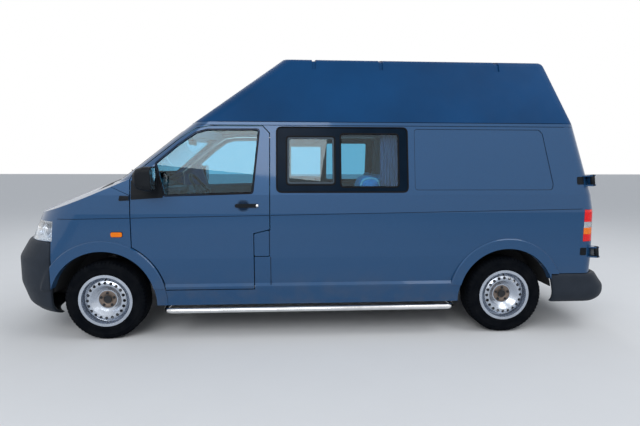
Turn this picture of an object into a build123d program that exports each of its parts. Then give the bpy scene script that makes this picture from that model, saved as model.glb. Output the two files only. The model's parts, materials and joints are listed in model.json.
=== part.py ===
import os
from collections import namedtuple
from math import asin, cos, pi, sin, sqrt

from build123d import *

os.makedirs("parts", exist_ok=True)

# Frame: X along the van with the nose towards -X, left side towards -Y, Z up.
# All sizes are in millimetres. The origin is on the floor under the middle.

# Wheels and axles
wheelbase = 3400
front_axle_x = -1751
rear_axle_x = front_axle_x + wheelbase
wheel_half_track = 814
tyre_radius = 333
tyre_width = 205
bead_radius = 205
rim_flange_radius = 220
rim_width = 186
rim_hole_count = 20
hub_bore_radius = 32.5
hub_flange_radius = 72
steer_axis_y = 730

# Body walls and gaps
wall = 50
roof_wall = 30
bonnet_wall = 26
glass_thickness = 5
glass_inset = 6
seat_gap = 0.3
panel_gap = 8
joint_gap = 3
rear_door_gap = 10

# Main heights
sill_z = 290
floor_z = 500
floor_thickness = 50
door_bottom_z = 432
crease_z = 1062
belt_z = 1215
gutter_z = 1783
seam_z = 1815
roof_top_z = 2440
nose_top_z = 1345
line_width = 5
line_depth = 4

# Plan outlines of the body at a few heights
Waterline = namedtuple("Waterline", "z front half_width rear")
body_rows = [
    Waterline(sill_z, -2592, 912, 2480),
    Waterline(440, -2592, 944, 2490),
    Waterline(454, -2592, 945, 2491),
    Waterline(476, -2592, 928, 2492),
    Waterline(690, -2592, 940, 2495),
    Waterline(crease_z, -2424, 942, 2485),
    Waterline(belt_z, -2355, 928, 2462),
    Waterline(nose_top_z, -2296, 905.7, 2428),
]
cabin_rows = [
    Waterline(belt_z, -1912, 928, 2462),
    Waterline(seam_z, -1132, 825, 2305),
]
roof_rows = [
    Waterline(seam_z, -1132, 825, 2305),
    Waterline(2500, -169, 578, 2045),
]
front_bumper_rows = [
    Waterline(191, -2376, 850, 2400),
    Waterline(236, -2516, 905, 2400),
    Waterline(295, -2588, 932, 2400),
    Waterline(463, -2645, 946, 2400),
    Waterline(681, -2645, 946, 2400),
    Waterline(800, -2572, 944, 2400),
    Waterline(836, -2548, 943, 2400),
]
rear_bumper_rows = [
    Waterline(262, -2300, 905, 2585),
    Waterline(300, -2300, 932, 2628),
    Waterline(345, -2300, 946, 2645),
    Waterline(410, -2300, 946, 2643),
    Waterline(478, -2300, 945, 2590),
    Waterline(527, -2300, 943, 2560),
]

# Plan curve of each group: half width of the front arc (or how far short of
# the side it ends), its radius, the rear corner and the rear arc's radius
PlanCurve = namedtuple("PlanCurve", "flat front_radius rear_corner rear_radius")
nose_curve = PlanCurve(520, 3000, 90, 6000)
cabin_curve = PlanCurve(-130, 2400, 90, 6000)
rear_bumper_curve = PlanCurve(520, 3000, 150, 6000)

# Bonnet surface: a crown that climbs towards the windscreen
bonnet_slope = 0.41
bonnet_x = -2035
bonnet_z = 1241
bonnet_crown_radius = 4000
roof_crown_radius = 2536
roof_edge_radius = 70

# Wheel arches
front_arch_radius = 425
front_flare_radius = 512
rear_arch_radius = 418
rear_flare_radius = 505
flare_half_width = 952
wheelhouse_wall = 8
front_wheelhouse_y = 505
rear_wheelhouse_y = 560


def plan_points(row, curve, inset):
    """Points of one plan outline, right half, from the nose to the tail."""
    flat = curve.flat if curve.flat > 0 else row.half_width + curve.flat
    turn = asin(flat / curve.front_radius)
    corner = (row.half_width - flat) / (1 - sin(turn))
    sag = curve.front_radius * (1 - cos(turn))
    cx = row.front + sag + corner * cos(turn)
    cy = row.half_width - corner
    front_centre = row.front + curve.front_radius
    front_r = curve.front_radius - inset
    corner_r = corner - inset
    halfway = (turn + pi / 2) / 2
    back_flat = row.half_width - curve.rear_corner
    back_turn = asin(back_flat / curve.rear_radius)
    back_corner = curve.rear_corner / (1 - sin(back_turn))
    back_centre = row.rear - curve.rear_radius
    bx = back_centre + (curve.rear_radius - back_corner) * cos(back_turn)
    by = row.half_width - back_corner
    back_r = curve.rear_radius - inset
    back_corner_r = back_corner - inset
    back_halfway = (back_turn + pi / 2) / 2
    return [
        (front_centre - front_r, 0),
        (front_centre - front_r * cos(turn), front_r * sin(turn)),
        (cx - corner_r * cos(halfway), cy + corner_r * sin(halfway)),
        (cx, cy + corner_r),
        (bx, by + back_corner_r),
        (bx + back_corner_r * cos(back_halfway), by + back_corner_r * sin(back_halfway)),
        (back_centre + back_r * cos(back_turn), back_r * sin(back_turn)),
        (back_centre + back_r, 0),
    ]


def stack(rows, curve, inset=0):
    """Solid through the plan outlines, with straight sides between them."""
    with BuildPart() as body:
        for pair in zip(rows, rows[1:]):
            for row in pair:
                nose, a, b, c, d, e, f, tail = plan_points(row, curve, inset)
                with BuildSketch(Plane.XY.offset(row.z)):
                    with BuildLine():
                        ThreePointArc((a[0], -a[1]), nose, a)
                        ThreePointArc(a, b, c)
                        Line(c, d)
                        ThreePointArc(d, e, f)
                        ThreePointArc(f, tail, (f[0], -f[1]))
                        ThreePointArc((f[0], -f[1]), (e[0], -e[1]), (d[0], -d[1]))
                        Line((d[0], -d[1]), (c[0], -c[1]))
                        ThreePointArc((c[0], -c[1]), (b[0], -b[1]), (a[0], -a[1]))
                    make_face()
            loft(ruled=True)
    return body.part


def outline_prism(plane, points, depth, radius, grown):
    """Outline on a plane, grown and rounded, then made solid."""
    with BuildPart() as prism:
        with BuildSketch(plane) as outline:
            with BuildLine():
                Polyline(*points, close=True)
            make_face()
            if grown:
                offset(amount=grown, kind=Kind.INTERSECTION, mode=Mode.REPLACE)
            if radius:
                fillet(outline.vertices(), radius)
        extrude(amount=depth)
    return prism.part


def left_prism(points, radius=0, grown=0):
    """Side view outline (X, Z) through the left side."""
    return outline_prism(Plane.XZ.offset(560), points, 540, radius, grown)


def right_prism(points, radius=0, grown=0):
    return outline_prism(Plane.XZ.offset(-1100), points, 540, radius, grown)


def end_prism(points, x_from, x_to, radius=0, grown=0):
    """End view outline (Y, Z) between two X places."""
    return outline_prism(Plane.YZ.offset(x_from), points, x_to - x_from, radius, grown)


def plan_prism(points, z_from, z_to, radius=0, grown=0):
    return outline_prism(Plane.XY.offset(z_from), points, z_to - z_from, radius, grown)


def block(x_from, x_to, y_from, y_to, z_from, z_to):
    corners = [(x_from, y_from), (x_to, y_from), (x_to, y_to), (x_from, y_to)]
    return plan_prism(corners, z_from, z_to)


def disc(x, z, radius, y_from, y_to):
    """Cylinder across the van."""
    with BuildPart() as solid:
        with BuildSketch(Plane.XZ.offset(-y_to)):
            with Locations((x, z)):
                Circle(radius)
        extrude(amount=y_to - y_from)
    return solid.part


def post(x, y, radius, z_from, z_to):
    with BuildPart() as solid:
        with BuildSketch(Plane.XY.offset(z_from)):
            with Locations((x, y)):
                Circle(radius)
        extrude(amount=z_to - z_from)
    return solid.part


def both_sides(part):
    with BuildPart() as pair:
        add(part)
        mirror(about=Plane.XZ)
    return pair.part


def above_bonnet(depth):
    """Everything over the bonnet surface, lowered by a depth."""
    run = 1 / sqrt(1 + bonnet_slope**2)
    climb = bonnet_slope * run
    back = 900
    origin = (bonnet_x - back * run + depth * climb, 0, bonnet_z - back * climb - depth * run)
    slanted = Plane(origin=origin, x_dir=(0, 1, 0), z_dir=(run, 0, climb))
    half = 1000
    drop = half**2 / 2 / bonnet_crown_radius
    with BuildPart() as air:
        with BuildSketch(slanted):
            with BuildLine():
                ThreePointArc((-half, -drop), (0, 0), (half, -drop))
                Polyline((half, -drop), (half, back), (-half, back), (-half, -drop))
            make_face()
        extrude(amount=1900)
    return air.part


def under_crown(top):
    """Everything under a roof crown whose middle is at a height."""
    half = 1000
    drop = half**2 / 2 / roof_crown_radius
    with BuildPart() as room:
        with BuildSketch(Plane.YZ.offset(-2700)):
            with BuildLine():
                ThreePointArc((-half, top - drop), (0, top), (half, top - drop))
                Polyline((half, top - drop), (half, 1500), (-half, 1500), (-half, top - drop))
            make_face()
        extrude(amount=5400)
    return room.part


def written(part, label):
    part.label = label
    export_step(part, "parts/" + label + ".step")
    print(label, len(part.solids()), round(part.volume / 1e6, 2))


# Outer form of the body: nose and sides, then the cabin on top
def flare(axle_x, radius, arch_radius):
    """Raised band round one left wheel arch, down to the sill's ledge."""
    with BuildPart() as band:
        with BuildSketch(Plane.XZ.offset(880)):
            with Locations((axle_x, tyre_radius)):
                Circle(radius)
                Circle(arch_radius - 20, mode=Mode.SUBTRACT)
            with Locations((axle_x, -60)):
                Rectangle(1300, 1000, mode=Mode.SUBTRACT)
        extrude(amount=flare_half_width - 880)
        rim_edges = band.faces().sort_by(Axis.Y)[0].edges().filter_by(GeomType.CIRCLE)
        chamfer(rim_edges.sort_by(SortBy.RADIUS)[-1:], 8)
    return both_sides(band.part)


flares = [
    flare(front_axle_x, front_flare_radius, front_arch_radius),
    flare(rear_axle_x, rear_flare_radius, rear_arch_radius),
]
wheel_wells = []
for axle_x, arch_radius in ((front_axle_x, front_arch_radius), (rear_axle_x, rear_arch_radius)):
    wheel_wells.append(both_sides(disc(axle_x, tyre_radius, arch_radius, -1000, -500)))

body_skin = stack(body_rows, nose_curve)
cabin_skin = stack(cabin_rows, cabin_curve)
glass_skin = stack(cabin_rows, cabin_curve, glass_inset)
with BuildPart() as body_form:
    add(body_skin)
    add(above_bonnet(0), mode=Mode.SUBTRACT)
    add(cabin_skin)
    for band in flares:
        add(band)

# Inner form, one wall in from the outer one
with BuildPart() as room_form:
    add(stack(body_rows, nose_curve, wall))
    add(above_bonnet(bonnet_wall), mode=Mode.SUBTRACT)
    add(stack(cabin_rows, cabin_curve, wall))

# Pressed line along both sides, a little lower at the nose, and the gutter line
crease_front_x = -2100
crease_rear_x = 2285
crease_front_z = 1018
crease_drop = 69
crease_line = [
    (crease_front_x, crease_front_z),
    (crease_rear_x, crease_front_z + crease_drop),
    (crease_rear_x, crease_front_z + crease_drop + line_width),
    (crease_front_x, crease_front_z + line_width),
]
gutter_line = [
    (-985, gutter_z + 3),
    (2262, gutter_z + 3),
    (2262, gutter_z + 3 + line_width),
    (-985, gutter_z + 3 + line_width),
]
with BuildPart() as crease_cut:
    add(outline_prism(Plane.XZ.offset(-1000), crease_line, 2000, 0, 0))
    add(stack(body_rows, nose_curve, line_depth), mode=Mode.SUBTRACT)
with BuildPart() as gutter_cut:
    add(outline_prism(Plane.XZ.offset(-1000), gutter_line, 2000, 0, 0))
    add(stack(cabin_rows, cabin_curve, line_depth), mode=Mode.SUBTRACT)

with BuildPart() as shell:
    add(body_form.part)
    add(room_form.part, mode=Mode.SUBTRACT)
    for well in wheel_wells:
        add(well, mode=Mode.SUBTRACT)
    add(crease_cut.part, mode=Mode.SUBTRACT)
    add(gutter_cut.part, mode=Mode.SUBTRACT)
print("shell", round(shell.part.volume / 1e6, 1), shell.part.is_valid)

# Thin layers of the cabin wall for the glass and for the window frames
with BuildPart() as glass_layer:
    add(glass_skin)
    add(stack(cabin_rows, cabin_curve, glass_inset + glass_thickness), mode=Mode.SUBTRACT)

# Side view outlines of the panels, left and right alike
wing_rear_x = -1512
door_rear_x = -378
flap_front_x = -519
door_outline = [
    (wing_rear_x + panel_gap, door_bottom_z),
    (wing_rear_x + panel_gap, 1366),
    (-1112, 1680),
    (-985, 1757),
    (-868, 1777),
    (-440, 1778),
    (door_rear_x - panel_gap, 1720),
    (door_rear_x - panel_gap, 932),
    (flap_front_x, 900),
    (flap_front_x, door_bottom_z),
]
door_window = [
    (-1236, 1212),
    (-1306, 1470),
    (-1127, 1622),
    (-985, 1722),
    (-890, 1748),
    (-470, 1752),
    (-524, 1232),
]
side_window = [(-325, 1236), (774, 1236), (774, 1774), (-325, 1774)]
sliding_door_outline = [
    (-366, door_bottom_z),
    (812, door_bottom_z),
    (812, gutter_z),
    (-366, gutter_z),
]
flap_outline = [(-512, 708), (-390, 708), (-390, 923), (-512, 893)]
blank_outline = [(832, 1252), (832, 1764), (1922, 1764), (1952, 1730), (2032, 1300), (2022, 1252)]

# End view outlines of the rear doors and the windscreen, plan of the bonnet
rear_door_bottom_z = 545
rear_door_top_z = gutter_z - 4
rear_door_y = 812
rear_door_top_y = 704
rear_door_outline = [
    (-rear_door_y, rear_door_bottom_z),
    (-rear_door_y, crease_z),
    (-rear_door_top_y, rear_door_top_z),
    (-rear_door_gap / 2, rear_door_top_z),
    (-rear_door_gap / 2, rear_door_bottom_z),
]
rear_window = [(-722, 1285), (-662, 1690), (-78, 1690), (-78, 1285)]
windscreen_outline = [(-788, 1352), (-700, 1742), (700, 1742), (788, 1352)]
bonnet_rear_x = -1815
bonnet_half = [(-2520, 600), (bonnet_rear_x - 14, 768.5), (bonnet_rear_x, 752)]
bonnet_outline = bonnet_half + [(x, -y) for x, y in reversed(bonnet_half)]
bonnet_hem = 9
bonnet_skin = 8

# Front doors
front_flare_cut = disc(front_axle_x, tyre_radius, front_flare_radius + panel_gap, -1000, -500)
rebate_x = door_rear_x - panel_gap - 10
with BuildPart() as door_rebate:
    add(block(rebate_x, door_rear_x, -1100, -560, belt_z, gutter_z))
    add(stack(cabin_rows, cabin_curve, wall / 2), mode=Mode.INTERSECT)
with BuildPart() as door_left:
    add(shell.part)
    add(left_prism(door_outline), mode=Mode.INTERSECT)
    add(front_flare_cut, mode=Mode.SUBTRACT)
    add(left_prism(door_window, 22), mode=Mode.SUBTRACT)
    add(door_rebate.part, mode=Mode.SUBTRACT)
with BuildPart() as door_left_glass:
    add(glass_layer.part)
    add(left_prism(door_window, 22, -seat_gap), mode=Mode.INTERSECT)

# Mirror on an arm, its foot in the window's corner and the pull handle, all of
# dark plastic. Housing sections from the glass forwards.
MirrorSection = namedtuple("MirrorSection", "x width height corner")
mirror_sections = [
    MirrorSection(-1272, 168, 190, 40),
    MirrorSection(-1335, 164, 186, 46),
    MirrorSection(-1392, 132, 154, 50),
    MirrorSection(-1420, 72, 92, 32),
]
mirror_glass_depth = 5
mirror_rim = 9
mirror_foot = [(-1498, 1180), (-1246, 1195), (-1243, 1214), (-1311, 1450), (-1382, 1420), (-1498, 1330)]
mirror_foot_thickness = 6
mirror_y = 1066
mirror_z = 1352
handle_x = -570
handle_z = 1128
handle_length = 190
handle_height = 30
handle_corner = 14
handle_inner_y = 922
handle_depth = 28
with BuildPart() as mirror_left:
    for section in mirror_sections:
        with BuildSketch(Plane(origin=(section.x, -mirror_y, mirror_z), x_dir=(0, 1, 0), z_dir=(-1, 0, 0))):
            RectangleRounded(section.width, section.height, section.corner)
    loft(ruled=True)
    mirror_face = mirror_sections[0]
    with BuildSketch(Plane(origin=(mirror_face.x, -mirror_y, mirror_z), x_dir=(0, 1, 0), z_dir=(-1, 0, 0))):
        RectangleRounded(
            mirror_face.width - 2 * mirror_rim,
            mirror_face.height - 2 * mirror_rim,
            mirror_face.corner - mirror_rim,
        )
    extrude(amount=mirror_glass_depth, mode=Mode.SUBTRACT)
    add(block(-1372, -1330, -mirror_y + 60, -880, 1280, 1312))
    add(cabin_skin, mode=Mode.SUBTRACT)
with BuildPart() as mirror_plate:
    add(stack(body_rows, nose_curve, -mirror_foot_thickness))
    add(above_bonnet(0), mode=Mode.SUBTRACT)
    add(stack(cabin_rows, cabin_curve, -mirror_foot_thickness))
    add(left_prism(mirror_foot), mode=Mode.INTERSECT)
with BuildPart() as handle_left:
    with BuildSketch(Plane.XZ.offset(handle_inner_y)) as handle_face:
        with Locations((handle_x, handle_z)):
            Rectangle(handle_length, handle_height)
        fillet(handle_face.vertices(), handle_corner)
    extrude(amount=handle_depth)
with BuildPart() as door_left_fittings:
    add(mirror_left.part)
    add(mirror_plate.part)
    add(handle_left.part)
    add(body_form.part, mode=Mode.SUBTRACT)

# Fuel flap in the left side, over a shallow filler pocket
flap_thickness = 6
with BuildPart() as fuel_flap:
    add(shell.part)
    add(left_prism(flap_outline, 12), mode=Mode.INTERSECT)
    add(stack(body_rows, nose_curve, flap_thickness), mode=Mode.SUBTRACT)
filler_x = -451
filler_z = 806
filler_cap_radius = 36
pocket_floor = 8
with BuildPart() as filler_cap:
    add(disc(filler_x, filler_z, filler_cap_radius, -960, -880))
    add(stack(body_rows, nose_curve, flap_thickness + seat_gap), mode=Mode.INTERSECT)
with BuildPart() as flap_pocket:
    add(left_prism(flap_outline, 12, panel_gap - 1))
    add(stack(body_rows, nose_curve, wall - pocket_floor), mode=Mode.SUBTRACT)

# Pressed recess of the rear quarter
with BuildPart() as blank_recess:
    add(left_prism(blank_outline, 30))
    add(stack(cabin_rows, cabin_curve, 4), mode=Mode.SUBTRACT)

# Side panels: pillars, sill and rear quarter in one ring
side_front_x = wing_rear_x + joint_gap
lamp_outline = [(-1000, 808), (-1000, 1086), (-822, 1086), (-822, 808)]
lamp_front_x = 2306
rear_bumper_front_x = 2040
rear_bumper_top_z = 527
header_half_width = 690
side_zone = [
    (side_front_x, sill_z - 5),
    (side_front_x, belt_z),
    (-1780, 1340),
    (-1780, seam_z),
    (2600, seam_z),
    (2600, sill_z - 5),
]
side_front_cut = disc(front_axle_x, tyre_radius, front_flare_radius + joint_gap, -1000, -500)
rear_hatch = end_prism(
    [
        (-rear_door_y - panel_gap, rear_door_bottom_z - panel_gap),
        (-rear_door_y - panel_gap, crease_z),
        (-rear_door_top_y - panel_gap, gutter_z + panel_gap),
        (0, gutter_z + panel_gap),
        (0, rear_door_bottom_z - panel_gap),
    ],
    2000,
    2700,
)

# Outer hinges of the rear doors: a pin on each door arm between two body leaves
hinge_low = (2420, -962, 720)
hinge_high = (2362, -934, 1335)
hinge_pin_radius = 12
hinge_height = 70
hinge_leaf = 12
hinge_axis = (Vector(*hinge_high) - Vector(*hinge_low)).normalized()
hinge_planes = []
for place in (hinge_low, hinge_high):
    hinge_planes.append(Plane(origin=place, x_dir=(hinge_axis.Z, 0, -hinge_axis.X), z_dir=hinge_axis))
hinge_reach = 192
leaf_outline = [(-16, -16), (16, -16), (16, 146), (-76, 146), (-76, 56)]
arm_outline = [(-10, 6), (-10, 76), (15, 166), (20, hinge_reach), (42, hinge_reach), (42, 150), (6, -8)]
with BuildPart() as hinge_leaves:
    for plane in hinge_planes:
        for leaf_z in (hinge_height / 2 + seat_gap, -hinge_height / 2 - seat_gap - hinge_leaf):
            add(outline_prism(plane.offset(leaf_z), leaf_outline, hinge_leaf, 0, 0))
    add(room_form.part, mode=Mode.SUBTRACT)
    add(rear_hatch, mode=Mode.SUBTRACT)


def side_ring(cuts):
    """Left side of the body, less what the given outlines take out."""
    with BuildPart() as ring:
        add(shell.part)
        add(outline_prism(Plane.XZ.offset(header_half_width), side_zone, 400, 0, 0), mode=Mode.INTERSECT)
        for points, radius, grown in cuts:
            add(left_prism(points, radius, grown), mode=Mode.SUBTRACT)
        add(side_front_cut, mode=Mode.SUBTRACT)
        add(rear_hatch, mode=Mode.SUBTRACT)
        add(end_prism(lamp_outline, lamp_front_x, 2600, 0, seat_gap), mode=Mode.SUBTRACT)
        add(block(rear_bumper_front_x, 2700, -1000, 0, 200, rear_bumper_top_z + seat_gap), mode=Mode.SUBTRACT)
        add(blank_recess.part, mode=Mode.SUBTRACT)
        add(end_prism(windscreen_outline, -2000, -900, 40), mode=Mode.SUBTRACT)
        add(hinge_leaves.part)
    return ring.part


with BuildPart() as side_left:
    add(side_ring([(door_outline, 0, panel_gap), (side_window, 45, 0)]))
    add(flap_pocket.part, mode=Mode.SUBTRACT)
    add(filler_cap.part)
right_ring = side_ring([(door_outline, 0, panel_gap), (sliding_door_outline, 30, joint_gap)])
rail_line = [(812 + joint_gap, 1146), (2210, 1146), (2210, 1172), (812 + joint_gap, 1172)]
rail_depth = 18
with BuildPart() as rail_cut:
    add(right_prism(rail_line))
    add(stack(body_rows, nose_curve, rail_depth), mode=Mode.SUBTRACT)
with BuildPart() as side_right:
    add(mirror(right_ring, about=Plane.XZ))
    add(rail_cut.part, mode=Mode.SUBTRACT)

# Sliding door on the right, shut; its window is the twin of the left one
with BuildPart() as sliding_door:
    add(shell.part)
    add(right_prism(sliding_door_outline, 30), mode=Mode.INTERSECT)
    add(right_prism(side_window, 45), mode=Mode.SUBTRACT)
    for roller_x in (-250, 700):
        add(block(roller_x, roller_x + 40, 900, 925, door_bottom_z - joint_gap + seat_gap, door_bottom_z + 5))

# Side window units: a dark frame, its post, and a pane each side of it
panes = [
    [(-243, 1297), (160, 1297), (160, 1697), (-243, 1697)],
    [(206, 1278), (697, 1278), (697, 1722), (206, 1722)],
]
with BuildPart() as frame_left:
    add(stack(cabin_rows, cabin_curve, 3))
    add(stack(cabin_rows, cabin_curve, 28), mode=Mode.SUBTRACT)
    add(left_prism(side_window, 45, -seat_gap), mode=Mode.INTERSECT)
    for pane in panes:
        add(left_prism(pane, 30), mode=Mode.SUBTRACT)
window_frames = both_sides(frame_left.part)
with BuildPart() as side_panes:
    for pane in panes:
        add(left_prism(pane, 30, -seat_gap))
    add(glass_layer.part, mode=Mode.INTERSECT)
with BuildPart() as fixed_glass:
    add(glass_layer.part)
    add(end_prism(windscreen_outline, -2000, -900, 40, -seat_gap), mode=Mode.INTERSECT)
    add(side_panes.part)
    add(mirror(side_panes.part, about=Plane.XZ))

# Header frame between the side panels, over the windscreen and the rear doors
with BuildPart() as roof_frame:
    add(shell.part)
    add(block(-1300, 2600, -header_half_width, header_half_width, 1700, seam_z), mode=Mode.INTERSECT)
    add(end_prism(windscreen_outline, -2000, -900, 40), mode=Mode.SUBTRACT)
    add(both_sides(rear_hatch), mode=Mode.SUBTRACT)
    for bow_x in (-300, 900, 1900):
        add(block(bow_x - 30, bow_x + 30, -header_half_width, header_half_width, seam_z - 25, seam_z))
    for rail_y in (-header_half_width + 20, header_half_width - 20):
        add(block(-1040, 2240, rail_y - 20, rail_y + 20, seam_z - 25, seam_z))

# Rear doors with outer hinge arms that stand clear of the body's corner
corner_zone = [
    (-1100, 400),
    (-rear_door_y, 400),
    (-rear_door_y, crease_z),
    (-rear_door_top_y, gutter_z),
    (-1100, gutter_z),
]
with BuildPart() as corner_room:
    add(stack(body_rows, nose_curve, -joint_gap))
    add(above_bonnet(0), mode=Mode.SUBTRACT)
    add(stack(cabin_rows, cabin_curve, -joint_gap))
    add(end_prism(corner_zone, 2000, 2700), mode=Mode.INTERSECT)
with BuildPart() as hinge_arms:
    for plane in hinge_planes:
        add(outline_prism(plane.offset(-hinge_height / 2), arm_outline, hinge_height, 0, 0))
        with BuildSketch(plane.offset(-hinge_height / 2)):
            Circle(hinge_pin_radius)
        extrude(amount=hinge_height)
    add(corner_room.part, mode=Mode.SUBTRACT)
with BuildPart() as rear_door_left:
    add(shell.part)
    add(end_prism(rear_door_outline, 2000, 2700), mode=Mode.INTERSECT)
    add(end_prism(rear_window, 2000, 2700, 30), mode=Mode.SUBTRACT)
    add(hinge_arms.part)
with BuildPart() as rear_glass_left:
    add(glass_layer.part)
    add(end_prism(rear_window, 2000, 2700, 30, -seat_gap), mode=Mode.INTERSECT)

# High roof: a shell with a rounded shoulder and three shallow cross grooves
roof_grooves = [(-5, 34), (578, 34), (1609, 46)]


def roof_form(inset, edge_radius):
    with BuildPart() as cap:
        add(stack(roof_rows, cabin_curve, inset))
        add(under_crown(roof_top_z - inset), mode=Mode.INTERSECT)
        if edge_radius:
            shoulder = cap.edges().filter_by(lambda edge: edge.center().Z > 2250 and edge.length > 100)
            fillet(shoulder, edge_radius)
    return cap.part


groove_depth = 12
with BuildPart() as groove_cuts:
    for groove_x, groove_width in roof_grooves:
        add(block(groove_x - groove_width / 2, groove_x + groove_width / 2, -900, 900, 2280, 2500))
    add(roof_form(groove_depth, roof_edge_radius - groove_depth), mode=Mode.SUBTRACT)
with BuildPart() as roof_foot_cut:
    add(block(-1300, 2600, -1000, 1000, seam_z - 10, seam_z + line_width))
    add(stack(roof_rows, cabin_curve, line_depth), mode=Mode.SUBTRACT)
with BuildPart() as high_roof:
    add(roof_form(0, roof_edge_radius))
    add(groove_cuts.part, mode=Mode.SUBTRACT)
    add(roof_foot_cut.part, mode=Mode.SUBTRACT)
    add(roof_form(roof_wall, 40), mode=Mode.SUBTRACT)

# Nose: wings, bonnet, lamps, grille and bumper
headlamp_box = [(-1000, 838), (-1000, 998), (-560, 998), (-530, 838)]
headlamp_rear_x = -2150
bumper_rear_x = -2160
bumper_top_z = 836
grille_outline = [(-530, 838), (-560, 998), (560, 998), (530, 838)]
grille_slots = [(862, 26), (896, 26), (930, 26), (964, 22)]
bonnet_front_z = 1006
with BuildPart() as headlamp_left:
    add(shell.part)
    add(end_prism(headlamp_box, -2700, headlamp_rear_x, 0, -seat_gap), mode=Mode.INTERSECT)

cowl_side_y = 786
wing_zone = [
    (bumper_rear_x, sill_z - 5),
    (bumper_rear_x, bumper_top_z + seat_gap),
    (-2700, bumper_top_z + seat_gap),
    (-2700, 1352),
    (-1780, 1352),
    (-1780, 1340 - joint_gap),
    (wing_rear_x, belt_z - joint_gap),
    (wing_rear_x, sill_z - 5),
]
with BuildPart() as wing_reach:
    add(outline_prism(Plane.XZ.offset(400), wing_zone, 700, 0, 0))
    add(disc(front_axle_x, tyre_radius, front_flare_radius, -1100, -400))
    add(block(-3000, bumper_rear_x, -1100, 0, 0, bumper_top_z + seat_gap), mode=Mode.SUBTRACT)
with BuildPart() as wing_left:
    add(shell.part)
    add(wing_reach.part, mode=Mode.INTERSECT)
    add(plan_prism(bonnet_outline, bonnet_front_z - panel_gap, 1500, 0, panel_gap), mode=Mode.SUBTRACT)
    add(end_prism(headlamp_box, -2700, headlamp_rear_x + seat_gap), mode=Mode.SUBTRACT)
    add(end_prism(grille_outline, -2700, -2150), mode=Mode.SUBTRACT)
    add(block(-1830, -1400, -cowl_side_y, 0, 1200, 1500), mode=Mode.SUBTRACT)
wings = both_sides(wing_left.part)

with BuildPart() as bonnet_rim:
    add(plan_prism(bonnet_outline, 900, 1500, 0, bonnet_hem))
    add(plan_prism(bonnet_outline, 900, 1500, 0, -bonnet_hem), mode=Mode.SUBTRACT)
    add(above_bonnet(bonnet_skin), mode=Mode.SUBTRACT)
with BuildPart() as bonnet:
    add(shell.part)
    add(plan_prism(bonnet_outline, bonnet_front_z, 1500), mode=Mode.INTERSECT)
    add(bonnet_rim.part, mode=Mode.SUBTRACT)
with BuildPart() as grille:
    add(shell.part)
    add(end_prism(grille_outline, -2700, -2150, 0, -seat_gap), mode=Mode.INTERSECT)
    for slot_z, slot_height in grille_slots:
        low_z = slot_z - slot_height / 2
        for slot_y in (-265, 265):
            slot = block(-2700, -2150, slot_y - 240, slot_y + 240, low_z, low_z + slot_height)
            add(slot, mode=Mode.SUBTRACT)
with BuildPart() as front_bumper:
    add(stack(front_bumper_rows, nose_curve))
    add(flares[0])
    add(stack(front_bumper_rows, nose_curve, wall - 5), mode=Mode.SUBTRACT)
    add(block(-2700, bumper_rear_x - seat_gap, -1000, 1000, 150, 900), mode=Mode.INTERSECT)
    add(wheel_wells[0], mode=Mode.SUBTRACT)
    for slot_y in (-320, 0, 320):
        for slot_z in (370, 430):
            add(block(-2700, -2400, slot_y - 145, slot_y + 145, slot_z - 20, slot_z + 20), mode=Mode.SUBTRACT)

with BuildPart() as rear_bumper:
    add(stack(rear_bumper_rows, rear_bumper_curve))
    add(stack(rear_bumper_rows, rear_bumper_curve, wall - 5), mode=Mode.SUBTRACT)
    add(block(rear_bumper_front_x + seat_gap, 2700, -1000, 1000, 200, 700), mode=Mode.INTERSECT)
    add(wheel_wells[1], mode=Mode.SUBTRACT)
with BuildPart() as tail_lamp_left:
    add(shell.part)
    add(end_prism(lamp_outline, lamp_front_x + seat_gap, 2600), mode=Mode.INTERSECT)
with BuildPart() as lamps:
    add(both_sides(headlamp_left.part))
    add(both_sides(tail_lamp_left.part))

# Floor: wheelhouses, bulkhead with the cowl, and the pan with its rails
rail_y = 440
rail_width = 70
rail_bottom_z = 400
firewall_x = -1540
room_skin = stack(body_rows, nose_curve, wall + seat_gap)
front_beam_x = -2557
rear_beam_x = 2524
beam_half_width = 500
wheel_room = []
with BuildPart() as wheelhouses:
    for axle_x, arch_radius, inner_y in (
        (front_axle_x, front_arch_radius, front_wheelhouse_y),
        (rear_axle_x, rear_arch_radius, rear_wheelhouse_y),
    ):
        outer_radius = arch_radius + 2 * wheelhouse_wall
        flat_y = -inner_y + wheelhouse_wall
        add(disc(axle_x, tyre_radius, outer_radius, -880, flat_y))
        add(disc(axle_x, tyre_radius, arch_radius + wheelhouse_wall, -881, -inner_y), mode=Mode.SUBTRACT)
        add(block(axle_x - 500, axle_x + 500, -900, 0, -200, rail_bottom_z), mode=Mode.SUBTRACT)
        wheel_room.append(both_sides(disc(axle_x, tyre_radius, outer_radius + seat_gap, -1000, flat_y)))
    mirror(about=Plane.XZ)
    add(room_skin, mode=Mode.INTERSECT)

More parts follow.
